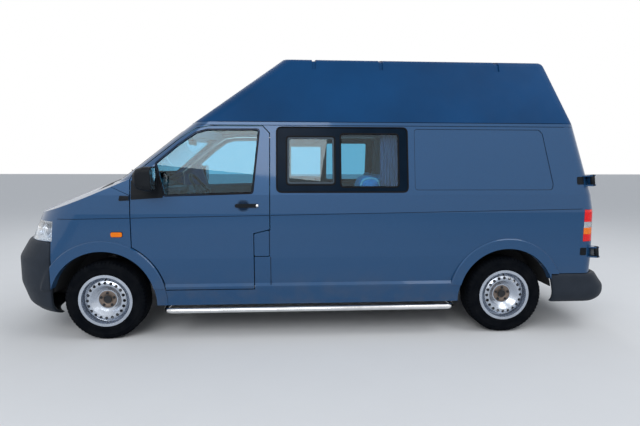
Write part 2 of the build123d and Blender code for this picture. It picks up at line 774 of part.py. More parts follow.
# Cowl between the bonnet and the windscreen, with a tray down to the firewall
cowl_front_x = bonnet_rear_x + 6
cowl_half_width = cowl_side_y - joint_gap
firewall_top_z = 1240
tray_profile = [
    (firewall_x, firewall_top_z - 4),
    (firewall_x + 20, firewall_top_z - 4),
    (firewall_x + 20, firewall_top_z + 10),
    (-1720, 1345),
    (-1742, 1345),
    (-1742, 1330),
]
with BuildPart() as cowl_tray:
    add(outline_prism(Plane.XZ.offset(-cowl_half_width), tray_profile, 2 * cowl_half_width, 0, 0))
    add(body_form.part, mode=Mode.INTERSECT)
with BuildPart() as bonnet_pads:
    for pad_y in (-450, 450):
        add(block(cowl_front_x - 46, cowl_front_x + 9, pad_y - 20, pad_y + 20, 1220, 1400))
    add(above_bonnet(bonnet_wall + seat_gap), mode=Mode.SUBTRACT)
with BuildPart() as pad_roots:
    for pad_y in (-450, 450):
        add(block(cowl_front_x + 2, cowl_front_x + 30, pad_y - 20, pad_y + 20, 1220, 1400))
    add(above_bonnet(bonnet_wall / 2), mode=Mode.SUBTRACT)
with BuildPart() as cowl:
    add(shell.part)
    cowl_reach = block(cowl_front_x, firewall_x + 10, -cowl_half_width, cowl_half_width, 1203, 1395)
    add(cowl_reach, mode=Mode.INTERSECT)
    add(cowl_tray.part)
    add(bonnet_pads.part)
    add(pad_roots.part)
    add(end_prism(windscreen_outline, -2000, -900, 40), mode=Mode.SUBTRACT)
    for side_offset in (header_half_width - seat_gap, -header_half_width + seat_gap - 400):
        pillar_foot = outline_prism(Plane.XZ.offset(side_offset), side_zone, 400, 0, seat_gap)
        add(pillar_foot, mode=Mode.SUBTRACT)

# Door hinge brackets on the firewall's ends, a running gap from each door
dashboard_half_width = 850
bracket_inner_y = dashboard_half_width + 2
bracket_heights = (735, 1010)
bracket_height = 70
with BuildPart() as bracket_pads:
    for bracket_z in bracket_heights:
        add(block(-1488, -1468, -960, -bracket_inner_y, bracket_z, bracket_z + bracket_height))
    add(room_skin, mode=Mode.INTERSECT)
with BuildPart() as door_brackets:
    add(bracket_pads.part)
    for bracket_z in bracket_heights:
        add(block(firewall_x, -1480, -884, -bracket_inner_y, bracket_z, bracket_z + bracket_height))
    mirror(about=Plane.XZ)

with BuildPart() as bulkhead:
    add(block(firewall_x, firewall_x + 20, -860, 860, floor_z + floor_thickness, firewall_top_z))
    for room in wheel_room:
        add(room, mode=Mode.SUBTRACT)
    add(cowl.part)
    add(door_brackets.part)

# Towing eye under the rear beam, lower than the bumper's edge
tow_eye_x = 2508
tow_eye_y = -300
tow_eye_z = 236
tow_eye_radius = 14
tow_eye_thickness = 14
tow_eye_reach = rail_bottom_z - tow_eye_z
with BuildPart() as tow_eye:
    with BuildSketch(Plane.XZ.offset(-tow_eye_y - tow_eye_thickness / 2)):
        with Locations((tow_eye_x, tow_eye_z)):
            Circle(2.1 * tow_eye_radius)
            with Locations((0, tow_eye_reach / 2)):
                Rectangle(2 * tow_eye_radius, tow_eye_reach)
            Circle(tow_eye_radius, mode=Mode.SUBTRACT)
    extrude(amount=tow_eye_thickness)

with BuildPart() as floor_pan:
    add(room_skin)
    add(block(firewall_x, 2600, -1000, 1000, floor_z, floor_z + floor_thickness), mode=Mode.INTERSECT)
    for side in (-1, 1):
        near = min(side * rail_y, side * (rail_y + rail_width))
        add(block(-2510, 2400, near, near + rail_width, rail_bottom_z, floor_z))
    add(block(front_beam_x, -2500, -beam_half_width, beam_half_width, 470, 560))
    add(block(2470, rear_beam_x, -560, 560, rail_bottom_z, 470))
    for side in (-1, 1):
        add(block(2400, 2480, side * 475 - 35, side * 475 + 35, rail_bottom_z, floor_z))
    add(block(firewall_x, firewall_x + 20, -860, 860, rail_bottom_z, floor_z))
    for room in wheel_room:
        add(room, mode=Mode.SUBTRACT)
    add(tow_eye.part)

# Wheels: tyre and dished steel rim, with a ring of round holes and a bore
tyre_half = tyre_width / 2
rim_half = rim_width / 2
seat_offset = 42
disc_thickness = 10
rim_hole_circle = 150
rim_hole_radius = 13
bolt_count = 5
bolt_circle = 56
bolt_hole_radius = 7.5


def tyre_at(axle_x, side):
    with BuildPart() as tyre:
        with BuildSketch(Plane.XY):
            with BuildLine():
                Polyline(
                    (bead_radius + seat_gap, 8 - rim_half),
                    (rim_flange_radius + seat_gap, 8 - rim_half),
                    (rim_flange_radius + 4, -rim_half - 2),
                    (262, -tyre_half),
                    (296, 2 - tyre_half),
                    (tyre_radius - 9, 15 - tyre_half),
                    (tyre_radius, 34 - tyre_half),
                    (tyre_radius, tyre_half - 34),
                    (tyre_radius - 9, tyre_half - 15),
                    (296, tyre_half - 2),
                    (262, tyre_half),
                    (rim_flange_radius + 4, rim_half + 2),
                    (rim_flange_radius + seat_gap, rim_half - 8),
                    (bead_radius + seat_gap, rim_half - 8),
                    close=True,
                )
            make_face()
        revolve(axis=Axis.Y)
    return tyre.part.moved(Location((axle_x, side * wheel_half_track, tyre_radius)))


def rim_at(axle_x, side):
    """Rim whose outer face looks towards -Y, turned round for the right side."""
    with BuildPart() as rim:
        with BuildSketch(Plane.XY):
            with BuildLine():
                Polyline(
                    (rim_flange_radius, -rim_half),
                    (rim_flange_radius, 7 - rim_half),
                    (bead_radius, 7 - rim_half),
                    (bead_radius, -20),
                    (180, -8),
                    (180, 30),
                    (bead_radius, 44),
                    (bead_radius, rim_half - 7),
                    (rim_flange_radius, rim_half - 7),
                    (rim_flange_radius, rim_half),
                    (bead_radius - 8, rim_half),
                    (bead_radius - 8, 48),
                    (172, 34),
                    (172, -12),
                    (bead_radius - 8, -24),
                    (bead_radius - 8, -rim_half),
                    close=True,
                )
            make_face()
        revolve(axis=Axis.Y)
        with BuildSketch(Plane.XY):
            with BuildLine():
                Polyline(
                    (176, 56 - seat_offset),
                    (176, 34 - seat_offset),
                    (167, -34 - seat_offset),
                    (150, -44 - seat_offset),
                    (128, -40 - seat_offset),
                    (100, -14 - seat_offset),
                    (82, -seat_offset),
                    (hub_bore_radius, -seat_offset),
                    (hub_bore_radius, disc_thickness - seat_offset),
                    (86, disc_thickness - seat_offset),
                    (104, -2 - seat_offset),
                    (130, -29 - seat_offset),
                    (149, -33 - seat_offset),
                    (158, -26 - seat_offset),
                    (167, 36 - seat_offset),
                    (167, 56 - seat_offset),
                    close=True,
                )
            make_face()
        revolve(axis=Axis.Y)
        with BuildSketch(Plane.XZ.offset(seat_offset - 60)):
            with PolarLocations(rim_hole_circle, rim_hole_count):
                Circle(rim_hole_radius)
            with PolarLocations(bolt_circle, bolt_count, start_angle=90):
                Circle(bolt_hole_radius)
        extrude(amount=140, mode=Mode.SUBTRACT)
    turned = rim.part if side < 0 else rim.part.rotate(Axis.Z, 180)
    return turned.moved(Location((axle_x, side * wheel_half_track, tyre_radius)))


# Hub faces: where each wheel's disc seats
hub_face_y = wheel_half_track + seat_offset - disc_thickness - seat_gap
stub_radius = hub_bore_radius - seat_gap


def hub_left(axle_x, inner_y):
    """Hub flange and spigot of a left wheel, on a carrier reaching inwards."""
    with BuildPart() as hub:
        add(disc(axle_x, tyre_radius, hub_flange_radius, -hub_face_y, -hub_face_y + 14))
        add(disc(axle_x, tyre_radius, stub_radius, -hub_face_y - 16, -hub_face_y))
        add(disc(axle_x, tyre_radius, 45, -hub_face_y + 14, -inner_y))
    return hub.part


# Steering knuckles: hub, upright and damper leg, turning about an upright axis
ball_z = 222
leg_y = 668
knuckle_inner_y = 700
with BuildPart() as knuckle_left:
    add(hub_left(front_axle_x, knuckle_inner_y))
    add(block(front_axle_x - 40, front_axle_x + 40, -knuckle_inner_y - 14, -knuckle_inner_y, ball_z, 440))
    foot_y = -steer_axis_y - 24
    add(block(front_axle_x - 30, front_axle_x + 30, foot_y, -knuckle_inner_y, ball_z, ball_z + 22))
    add(block(front_axle_x - 34, front_axle_x + 34, -knuckle_inner_y, -leg_y + 10, 400, 440))
    add(post(front_axle_x, -leg_y, 26, 400, 740))

# Front subframe with its lower arms, under the rails
subframe_z = 300
arm_pin_radius = 14
with BuildPart() as front_axle:
    add(block(-2380, -1560, -500, 500, subframe_z, subframe_z + 34))
    for side in (-1, 1):
        near = min(side * rail_y, side * (rail_y + rail_width))
        add(block(-2380, -1560, near, near + rail_width, subframe_z, rail_bottom_z))
        arm = [
            (-1890, side * 470),
            (-1610, side * 470),
            (front_axle_x + 26, side * (steer_axis_y + 18)),
            (front_axle_x - 26, side * (steer_axis_y + 18)),
        ]
        add(plan_prism(arm, ball_z - 22, ball_z - seat_gap))
        for mount_x in (-1870, -1630):
            add(block(mount_x - 25, mount_x + 25, side * 485 - 15, side * 485 + 15, ball_z - 22, subframe_z))

# Rear axle: cross member under the rails and a trailing arm to each hub
rear_hub = hub_left(rear_axle_x, 690)
with BuildPart() as rear_axle:
    add(block(1230, 1330, -620, 620, 330, rail_bottom_z))
    for side in (-1, 1):
        arm_rear_x = rear_axle_x + 40
        arm = [(1240, side * 600), (1330, side * 420), (arm_rear_x, side * 560), (arm_rear_x, side * 706)]
        add(plan_prism(arm, 300, 352))
    add(both_sides(rear_hub))
    for side in (-1, 1):
        add(post(rear_axle_x - 120, side * 520, 50, 352, rail_bottom_z))

# Engine as one plain block on the subframe, and the exhaust below the floor
engine_front_x = -2330
engine_rear_x = -1880
engine_left_y = -420
engine_right_y = 400
engine_top_z = 900
with BuildPart() as engine_block:
    add(block(engine_front_x, engine_rear_x, engine_left_y, engine_right_y, subframe_z + 34, engine_top_z))
    fillet(engine_block.edges().filter_by(Axis.Z), 30)
exhaust_y = 275
exhaust_z = 295
muffler_front_x = 300
muffler_rear_x = 900
muffler_half_width = 125
muffler_half_height = 55
with BuildPart() as exhaust:
    add(
        block(
            muffler_front_x,
            muffler_rear_x,
            exhaust_y - muffler_half_width,
            exhaust_y + muffler_half_width,
            exhaust_z - muffler_half_height,
            exhaust_z + muffler_half_height,
        )
    )
    fillet(exhaust.edges().filter_by(Axis.X), 40)
    with BuildSketch(Plane.YZ.offset(-1560)):
        with Locations((exhaust_y, exhaust_z)):
            Circle(25)
    extrude(amount=1900)
    with BuildSketch(Plane.YZ.offset(880)):
        with Locations((exhaust_y, exhaust_z)):
            Circle(22)
    extrude(amount=1500)
    for hanger_x in (-900, 350, 850, 2200):
        add(block(hanger_x - 12, hanger_x + 12, exhaust_y - 6, exhaust_y + 6, exhaust_z + 15, floor_z))

# Fuel tank hung under the floor between the left rail and the exhaust
tank_half_width = 235
tank_y = -175
tank_bottom_z = 305
with BuildPart() as fuel_tank:
    tank_left_y = tank_y - tank_half_width
    tank_right_y = tank_y + tank_half_width
    add(block(-800, 200, tank_left_y, tank_right_y, tank_bottom_z, floor_z - seat_gap))
    fillet(fuel_tank.edges().filter_by(Axis.Z), 50)
    fillet(fuel_tank.faces().sort_by(Axis.Z)[0].edges(), 25)

# Side bars: a straight tube along each sill, its ends turned in to brackets
bar_radius = 22
bar_y = 925
bar_z = 246
bar_front_x = -1262
bar_rear_x = 1190
bar_bend = 70
with BuildPart() as side_bar_left:
    with BuildLine() as bar_path:
        FilletPolyline(
            (bar_front_x, -bar_y + 210, bar_z),
            (bar_front_x, -bar_y, bar_z),
            (bar_rear_x, -bar_y, bar_z),
            (bar_rear_x, -bar_y + 210, bar_z),
            radius=bar_bend,
        )
    with BuildSketch(Plane(origin=bar_path.line @ 0, z_dir=bar_path.line % 0)):
        Circle(bar_radius)
    sweep()
    rail_face_y = -rail_y - rail_width
    for bracket_x in (bar_front_x, bar_rear_x):
        add(block(bracket_x - 20, bracket_x + 20, -bar_y + 190, rail_face_y, bar_z - 10, bar_z + 10))
        add(block(bracket_x - 20, bracket_x + 20, rail_face_y - 12, rail_face_y, bar_z - 10, 430))
side_bars = both_sides(side_bar_left.part)

# Cab: dashboard, steering wheel and two seats
with BuildPart() as dashboard:
    with BuildSketch(Plane.XZ.offset(-dashboard_half_width)) as dash_profile:
        with BuildLine():
            Polyline(
                (firewall_x + 20 + seat_gap, 900),
                (firewall_x + 20 + seat_gap, 1215),
                (-1330, 1222),
                (-1210, 1180),
                (-1170, 1080),
                (-1230, 920),
                close=True,
            )
        make_face()
        fillet(dash_profile.vertices().sort_by(Axis.X)[2:], 24)
    extrude(amount=2 * dashboard_half_width)
wheel_y = -380
wheel_x = -1040
wheel_z = 1222
wheel_rim_radius = 190
wheel_rim_inner_radius = 166
wheel_boss_radius = 52
column_radius = 24
column_length = 240
with BuildPart() as steering_wheel:
    tilt = Plane(origin=(wheel_x, wheel_y, wheel_z), x_dir=(0, 1, 0), z_dir=(0.82, 0, 0.57))
    with BuildSketch(tilt.offset(-9)):
        Circle(wheel_rim_radius)
        Circle(wheel_rim_inner_radius, mode=Mode.SUBTRACT)
        with Locations((0, 0)):
            Rectangle(340, 38)
        Circle(wheel_boss_radius)
    extrude(amount=18)
    with BuildSketch(tilt.offset(-9)):
        Circle(column_radius)
    extrude(amount=-column_length)
    add(dashboard.part, mode=Mode.SUBTRACT)

seat_rows = [(-640, -400), (-640, 400)]
seat_top_z = 900
seat_base_z = 760
seat_half_width = 235
cab_floor_z = floor_z + floor_thickness
with BuildPart() as cab_seat_bases:
    for seat_x, seat_y in seat_rows:
        add(block(seat_x - 190, seat_x + 190, seat_y - 200, seat_y + 200, cab_floor_z, seat_base_z))
with BuildPart() as seat_cushions:
    for seat_x, seat_y in seat_rows:
        with BuildSketch(Plane.XZ.offset(-seat_y - seat_half_width)):
            with BuildLine():
                Polyline(
                    (seat_x - 260, seat_base_z + seat_gap),
                    (seat_x - 280, seat_top_z),
                    (seat_x + 130, seat_top_z - 20),
                    (seat_x + 235, 1490),
                    (seat_x + 330, 1480),
                    (seat_x + 240, seat_base_z + seat_gap),
                    close=True,
                )
            make_face()
        extrude(amount=2 * seat_half_width)
        add(block(seat_x + 225, seat_x + 325, seat_y - 120, seat_y + 120, 1500, 1680))
        add(block(seat_x + 268, seat_x + 282, seat_y - 60, seat_y + 60, 1470, 1510))

# Living space: a low cabinet along the left wall, a bench bed and its cushions
lining_y = -820
cabinet_front_x = 780
cabinet_rear_x = 2150
cabinet_inner_y = -400
cabinet_foot_rear_x = 1195
cabinet_foot_z = 790
cabinet_top_z = 1180
bench_front_x = 120
bench_rear_x = 700
bench_right_y = 560
bench_top_z = 880
bench_margin = 10
bench_seat_z = 1000
bench_back_x = 600
bench_back_z = 1400
with BuildPart() as camper_furniture:
    add(block(cabinet_front_x, cabinet_foot_rear_x, lining_y, cabinet_inner_y, cab_floor_z, cabinet_foot_z))
    add(block(cabinet_front_x, cabinet_rear_x, lining_y, cabinet_inner_y, cabinet_foot_z, cabinet_top_z))
    add(block(bench_front_x, bench_rear_x, lining_y, bench_right_y, cab_floor_z, bench_top_z))
with BuildPart() as cushions:
    add(seat_cushions.part)
    for x_from, x_to, top_z in (
        (bench_front_x + bench_margin, bench_back_x, bench_seat_z),
        (bench_back_x + seat_gap, bench_rear_x - bench_margin, bench_back_z),
    ):
        add(
            block(
                x_from,
                x_to,
                lining_y + bench_margin,
                bench_right_y - bench_margin,
                bench_top_z + seat_gap,
                top_z,
            )
        )

mirrored = [
    ("door_left", door_left.part),
    ("door_left_glass", door_left_glass.part),
    ("door_left_fittings", door_left_fittings.part),
    ("rear_door_left", rear_door_left.part),
    ("rear_glass_left", rear_glass_left.part),
    ("knuckle_left", knuckle_left.part),
]
for label, piece in mirrored:
    written(piece, label)
    written(mirror(piece, about=Plane.XZ), label.replace("left", "right"))
for axle, axle_x in (("front", front_axle_x), ("rear", rear_axle_x)):
    for name, side in (("left", -1), ("right", 1)):
        written(tyre_at(axle_x, side), "tyre_" + axle + "_" + name)
        written(rim_at(axle_x, side), "rim_" + axle + "_" + name)
fixed = {
    "floor_pan": floor_pan.part,
    "bulkhead": bulkhead.part,
    "wheelhouses": wheelhouses.part,
    "fuel_tank": fuel_tank.part,
    "side_left": side_left.part,
    "side_right": side_right.part,
    "sliding_door": sliding_door.part,
    "window_frames": window_frames,
    "fixed_glass": fixed_glass.part,
    "roof_frame": roof_frame.part,
    "high_roof": high_roof.part,
    "wings": wings,
    "bonnet": bonnet.part,
    "grille": grille.part,
    "lamps": lamps.part,
    "front_bumper": front_bumper.part,
    "rear_bumper": rear_bumper.part,
    "fuel_flap": fuel_flap.part,
    "front_axle": front_axle.part,
    "rear_axle": rear_axle.part,
    "engine_block": engine_block.part,
    "exhaust": exhaust.part,
    "side_bars": side_bars,
    "dashboard": dashboard.part,
    "steering_wheel": steering_wheel.part,
    "cab_seat_bases": cab_seat_bases.part,
    "cushions": cushions.part,
    "camper_furniture": camper_furniture.part,
}
for label, piece in fixed.items():
    written(piece, label)
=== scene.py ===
import json
import math

import bmesh
import bpy
from mathutils import Matrix, Vector
from mathutils.bvhtree import BVHTree


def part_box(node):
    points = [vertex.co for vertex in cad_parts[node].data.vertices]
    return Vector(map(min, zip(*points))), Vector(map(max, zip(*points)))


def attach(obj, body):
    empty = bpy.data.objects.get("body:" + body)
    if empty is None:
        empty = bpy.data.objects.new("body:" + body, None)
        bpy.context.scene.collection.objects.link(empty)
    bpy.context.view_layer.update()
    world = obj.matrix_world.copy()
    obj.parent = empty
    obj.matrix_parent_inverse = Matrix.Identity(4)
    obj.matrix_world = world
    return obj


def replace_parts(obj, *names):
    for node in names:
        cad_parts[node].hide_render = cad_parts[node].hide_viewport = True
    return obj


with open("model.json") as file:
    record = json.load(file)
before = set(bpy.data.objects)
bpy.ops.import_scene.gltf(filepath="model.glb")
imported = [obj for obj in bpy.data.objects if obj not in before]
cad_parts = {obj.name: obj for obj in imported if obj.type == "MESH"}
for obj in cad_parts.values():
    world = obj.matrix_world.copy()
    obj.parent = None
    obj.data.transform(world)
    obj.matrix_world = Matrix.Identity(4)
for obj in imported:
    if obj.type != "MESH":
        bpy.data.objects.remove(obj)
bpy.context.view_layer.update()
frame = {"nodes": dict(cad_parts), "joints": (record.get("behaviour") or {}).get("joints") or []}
nodes = frame["nodes"]
print("frame loaded,", len(nodes), "nodes")

# The van lies along X with its nose towards -X; its left side is at -Y.
left = -1
right = 1
sides = {"left": left, "right": right}

# Wheel places come from the joints of the frame
wheelCentre = {}
for joint in frame["joints"]:
    if joint["name"].startswith("roll_"):
        wheelCentre[joint["name"][5:]] = Vector(joint["pos_m"])


# Small tools for meshes
def placed(name, data):
    piece = bpy.data.objects.new(name, data)
    bpy.context.scene.collection.objects.link(piece)
    return piece


def fromWork(name, work):
    data = bpy.data.meshes.new(name)
    work.to_mesh(data)
    work.free()
    return placed(name, data)


def rideAll(body, *pieces):
    for piece in pieces:
        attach(piece, body)


def setInputs(node, values):
    for label, value in values.items():
        node.inputs[label].default_value = value


def meshPiece(name, points, faces, smooth=True):
    data = bpy.data.meshes.new(name)
    data.from_pydata([tuple(p) for p in points], [], faces)
    data.validate()
    piece = placed(name, data)
    fixNormals(piece)
    if smooth:
        data.shade_smooth()
    return piece


def fixNormals(piece, gap=1e-6):
    work = bmesh.new()
    work.from_mesh(piece.data)
    bmesh.ops.remove_doubles(work, verts=work.verts, dist=gap)
    bmesh.ops.recalc_face_normals(work, faces=work.faces)
    work.to_mesh(piece.data)
    work.free()


def plainMesh(piece):
    # turns what the modifiers make into the piece's own mesh
    shown = piece.evaluated_get(bpy.context.evaluated_depsgraph_get())
    data = bpy.data.meshes.new_from_object(shown)
    piece.modifiers.clear()
    piece.data = data
    return piece


def joinPieces(name, pieces):
    work = bmesh.new()
    materials = []
    for piece in pieces:
        for material in piece.data.materials:
            if material not in materials:
                materials.append(material)
    for piece in pieces:
        part = piece.data.copy()
        part.transform(piece.matrix_world)
        lookup = [materials.index(m) for m in piece.data.materials] or [0]
        first = len(work.faces)
        work.from_mesh(part)
        work.faces.ensure_lookup_table()
        for face in work.faces[first:]:
            face.material_index = lookup[min(face.material_index, len(lookup) - 1)]
        bpy.data.meshes.remove(part)
    data = bpy.data.meshes.new(name)
    work.to_mesh(data)
    work.free()
    for material in materials:
        data.materials.append(material)
    for piece in pieces:
        bpy.data.objects.remove(piece)
    return placed(name, data)


def bevel(piece, width, segments=3, angle=35):
    cut = piece.modifiers.new("soft edges", "BEVEL")
    cut.width = width
    cut.segments = segments
    cut.limit_method = "ANGLE"
    cut.angle_limit = math.radians(angle)
    return plainMesh(piece)


def subdivide(piece, levels=2):
    smooth = piece.modifiers.new("smooth", "SUBSURF")
    smooth.levels = levels
    smooth.render_levels = levels
    return plainMesh(piece)


def thicken(piece, thickness, offset=-1.0):
    wall = piece.modifiers.new("wall", "SOLIDIFY")
    wall.thickness = thickness
    wall.offset = offset
    return plainMesh(piece)


def boxPiece(name, low, high, soft=0.0, segments=3):
    (a, b, c), (d, e, f) = low, high
    points = [(a, b, c), (d, b, c), (d, e, c), (a, e, c), (a, b, f), (d, b, f), (d, e, f), (a, e, f)]
    faces = [(0, 3, 2, 1), (4, 5, 6, 7), (0, 1, 5, 4), (1, 2, 6, 5), (2, 3, 7, 6), (3, 0, 4, 7)]
    piece = meshPiece(name, points, faces, smooth=soft > 0)
    return bevel(piece, soft, segments) if soft else piece


def lathePiece(name, profile, centre, segments=64, outward=left, closed=False):
    # profile: (radius, place along the axle from the wheel's middle, outwards)
    points = []
    for step in range(segments):
        angle = 2 * math.pi * step / segments
        for radius, along in profile:
            points.append(
                (
                    centre[0] + radius * math.cos(angle), centre[1] + outward * along,
                    centre[2] + radius * math.sin(angle)
                )
            )
    rows = len(profile)
    faces = []
    for step in range(segments):
        here = step * rows
        there = (step + 1) % segments * rows
        for row in range(rows if closed else rows - 1):
            after = (row + 1) % rows
            faces.append((here + row, here + after, there + after, there + row))
    return meshPiece(name, points, faces)


def turnedPiece(name, profile, place, finish, segments=32, outward=right):
    # a lathed piece moved from the origin to its place
    piece = lathePiece(name, profile, (0, 0, 0), segments, outward)
    piece.data.transform(place)
    fixNormals(piece)
    return painted(piece, finish)


def tubePiece(name, route, radius, finish, resolution=4, closed=False):
    curve = bpy.data.curves.new(name, "CURVE")
    curve.dimensions = "3D"
    curve.bevel_depth = radius
    curve.bevel_resolution = resolution
    curve.use_fill_caps = True
    line = curve.splines.new("POLY")
    line.points.add(len(route) - 1)
    for point, place in zip(line.points, route):
        point.co = (*place, 1)
    line.use_cyclic_u = closed
    draft = placed(name + "Draft", curve)
    shown = draft.evaluated_get(bpy.context.evaluated_depsgraph_get())
    data = bpy.data.meshes.new_from_object(shown)
    data.name = name
    bpy.data.objects.remove(draft)
    piece = placed(name, data)
    fixNormals(piece)
    data.shade_smooth()
    return painted(piece, finish)


def painted(piece, finish):
    piece.data.materials.clear()
    piece.data.materials.append(finishes[finish])
    return piece


def surfaceOf(*names):
    # tree of the surfaces of some CAD nodes, for laying trim on them
    work = bmesh.new()
    for name in names:
        work.from_mesh(nodes[name].data)
    tree = BVHTree.FromBMesh(work)
    work.free()
    return tree


def skinOf(name, source, keep, lift=0.0, thickness=0.0):
    # the faces of a CAD node that keep() picks, as a sheet lifted off it
    work = bmesh.new()
    work.from_mesh(nodes[source].data)
    bmesh.ops.remove_doubles(work, verts=work.verts, dist=2e-5)
    drop = [f for f in work.faces if not keep(f.calc_center_median(), f.normal)]
    bmesh.ops.delete(work, geom=drop, context="FACES")
    work.normal_update()
    for vert in work.verts:
        vert.co += vert.normal * lift
    piece = fromWork(name, work)
    piece.data.shade_smooth()
    return thicken(piece, thickness) if thickness else piece


# Materials. Patterns read Object coordinates, in metres.
def startMaterial(name, colour, roughness, metallic=0.0):
    material = bpy.data.materials.new(name)
    material.use_nodes = True
    tree = material.node_tree
    shader = tree.nodes["Principled BSDF"]
    setInputs(shader, {"Base Color": (*colour, 1), "Roughness": roughness, "Metallic": metallic})
    place = tree.nodes.new("ShaderNodeTexCoord")
    return material, tree, shader, place.outputs["Object"]


def addNoise(tree, place, scale, detail=3.0, stretch=None):
    if stretch:
        mapping = tree.nodes.new("ShaderNodeMapping")
        setInputs(mapping, {"Scale": stretch})
        tree.links.new(place, mapping.inputs["Vector"])
        place = mapping.outputs["Vector"]
    noise = tree.nodes.new("ShaderNodeTexNoise")
    setInputs(noise, {"Scale": scale, "Detail": detail})
    tree.links.new(place, noise.inputs["Vector"])
    return noise.outputs["Fac"]


def addRange(tree, value, low, high, fromLow=0.0, fromHigh=1.0):
    spread = tree.nodes.new("ShaderNodeMapRange")
    setInputs(spread, {"From Min": fromLow, "From Max": fromHigh, "To Min": low, "To Max": high})
    tree.links.new(value, spread.inputs["Value"])
    return spread.outputs["Result"]


def addMath(tree, kind, first, second):
    step = tree.nodes.new("ShaderNodeMath")
    step.operation = kind
    for socket, value in zip(step.inputs, (first, second)):
        if isinstance(value, (int, float)):
            socket.default_value = value
        else:
            tree.links.new(value, socket)
    return step.outputs[0]


def addMix(tree, amount, first, second):
    mix = tree.nodes.new("ShaderNodeMix")
    mix.data_type = "RGBA"
    tree.links.new(amount, mix.inputs["Factor"])
    for socket, value in zip((mix.inputs[6], mix.inputs[7]), (first, second)):
        if isinstance(value, tuple):
            socket.default_value = (*value, 1)
        else:
            tree.links.new(value, socket)
    return mix.outputs[2]


def addBump(tree, shader, height, strength, distance):
    bump = tree.nodes.new("ShaderNodeBump")
    setInputs(bump, {"Strength": strength, "Distance": distance})
    tree.links.new(height, bump.inputs["Height"])
    tree.links.new(bump.outputs["Normal"], shader.inputs["Normal"])


def addHeight(tree, place):
    split = tree.nodes.new("ShaderNodeSeparateXYZ")
    tree.links.new(place, split.inputs["Vector"])
    return split.outputs["Z"]


paintLook = {
    "colour": (0.0085, 0.056, 0.148),
    "flake": (0.014, 0.08, 0.2),
    "dust": (0.12, 0.115, 0.105),
    "roughness": 0.34,
    "metallic": 0.25,
    "coat": 0.6,
    "dustHeight": 0.62,
}
# roof colour: the body's blue made darker, painted shade on the roof
shadedRoofLook = {"colour": (0.0015, 0.036, 0.112), "roughness": 0.5, "level": 0.1}


def paintMaterial():
    material, tree, shader, place = startMaterial(
        "slatePaint", paintLook["colour"], paintLook["roughness"], paintLook["metallic"]
    )
    cells = tree.nodes.new("ShaderNodeTexVoronoi")
    setInputs(cells, {"Scale": 900})
    tree.links.new(place, cells.inputs["Vector"])
    flake = addRange(tree, cells.outputs["Color"], 0, 1, 0.35, 0.9)
    colour = addMix(tree, flake, paintLook["colour"], paintLook["flake"])
    low = addRange(tree, addHeight(tree, place), 1, 0, 0.25, paintLook["dustHeight"])
    patches = addRange(tree, addNoise(tree, place, 7, 6), 0, 0.35, 0.4, 0.8)
    dust = addMath(tree, "MULTIPLY", low, patches)
    tree.links.new(addMix(tree, dust, colour, paintLook["dust"]), shader.inputs["Base Color"])
    waves = addRange(tree, addNoise(tree, place, 2.2, 2), 0.3, 0.38)
    tree.links.new(addMath(tree, "ADD", waves, dust), shader.inputs["Roughness"])
    addBump(tree, shader, addNoise(tree, place, 260, 2), 0.03, 0.0006)
    setInputs(shader, {"Coat Weight": paintLook["coat"], "Coat Roughness": 0.05, "Specular IOR Level": 0.2})
    return material


def roofMaterial():
    # moulded roof cap, painted like the body but without its clear coat; its colour is the body's blue made
    # darker, which is painted shade on the roof
    material, tree, shader, place = startMaterial("roofPaint", shadedRoofLook["colour"], shadedRoofLook["roughness"])
    pale = tuple(c * 1.35 for c in shadedRoofLook["colour"])
    clouds = addRange(tree, addNoise(tree, place, 1.6, 5), 0, 1, 0.35, 0.7)
    tree.links.new(addMix(tree, clouds, shadedRoofLook["colour"], pale), shader.inputs["Base Color"])
    tree.links.new(
        addRange(
            tree, addNoise(tree, place, 12, 4), shadedRoofLook["roughness"] - 0.08, shadedRoofLook["roughness"] + 0.1
        ),
        shader.inputs["Roughness"]
    )
    addBump(tree, shader, addNoise(tree, place, 90, 3), 0.08, 0.0008)
    setInputs(shader, {"Specular IOR Level": shadedRoofLook["level"]})
    return material


def plasticMaterial(name, colour, roughness, grain, depth=0.0006, level=0.12):
    material, tree, shader, place = startMaterial(name, colour, roughness)
    pale = tuple(min(1, c * 1.5 + 0.002) for c in colour)
    worn = addRange(tree, addNoise(tree, place, 9, 5), 0, 0.5, 0.35, 0.75)
    tree.links.new(addMix(tree, worn, colour, pale), shader.inputs["Base Color"])
    tree.links.new(
        addRange(tree, addNoise(tree, place, 30, 3), roughness - 0.08, roughness + 0.08),
        shader.inputs["Roughness"]
    )
    addBump(tree, shader, addNoise(tree, place, grain, 2), 0.35, depth)
    setInputs(shader, {"Specular IOR Level": level})
    return material


def metalMaterial(name, colour, roughness, stretch=None, metallic=1.0, scale=120):
    material, tree, shader, place = startMaterial(name, colour, roughness, metallic)
    streaks = addNoise(tree, place, scale, 3, stretch)
    tree.links.new(addRange(tree, streaks, roughness * 0.7, roughness * 1.4), shader.inputs["Roughness"])
    dull = tuple(c * 0.72 for c in colour)
    patches = addRange(tree, addNoise(tree, place, 14, 5), 0, 0.6, 0.35, 0.75)
    tree.links.new(addMix(tree, patches, colour, dull), shader.inputs["Base Color"])
    addBump(tree, shader, streaks, 0.12, 0.0004)
    return material


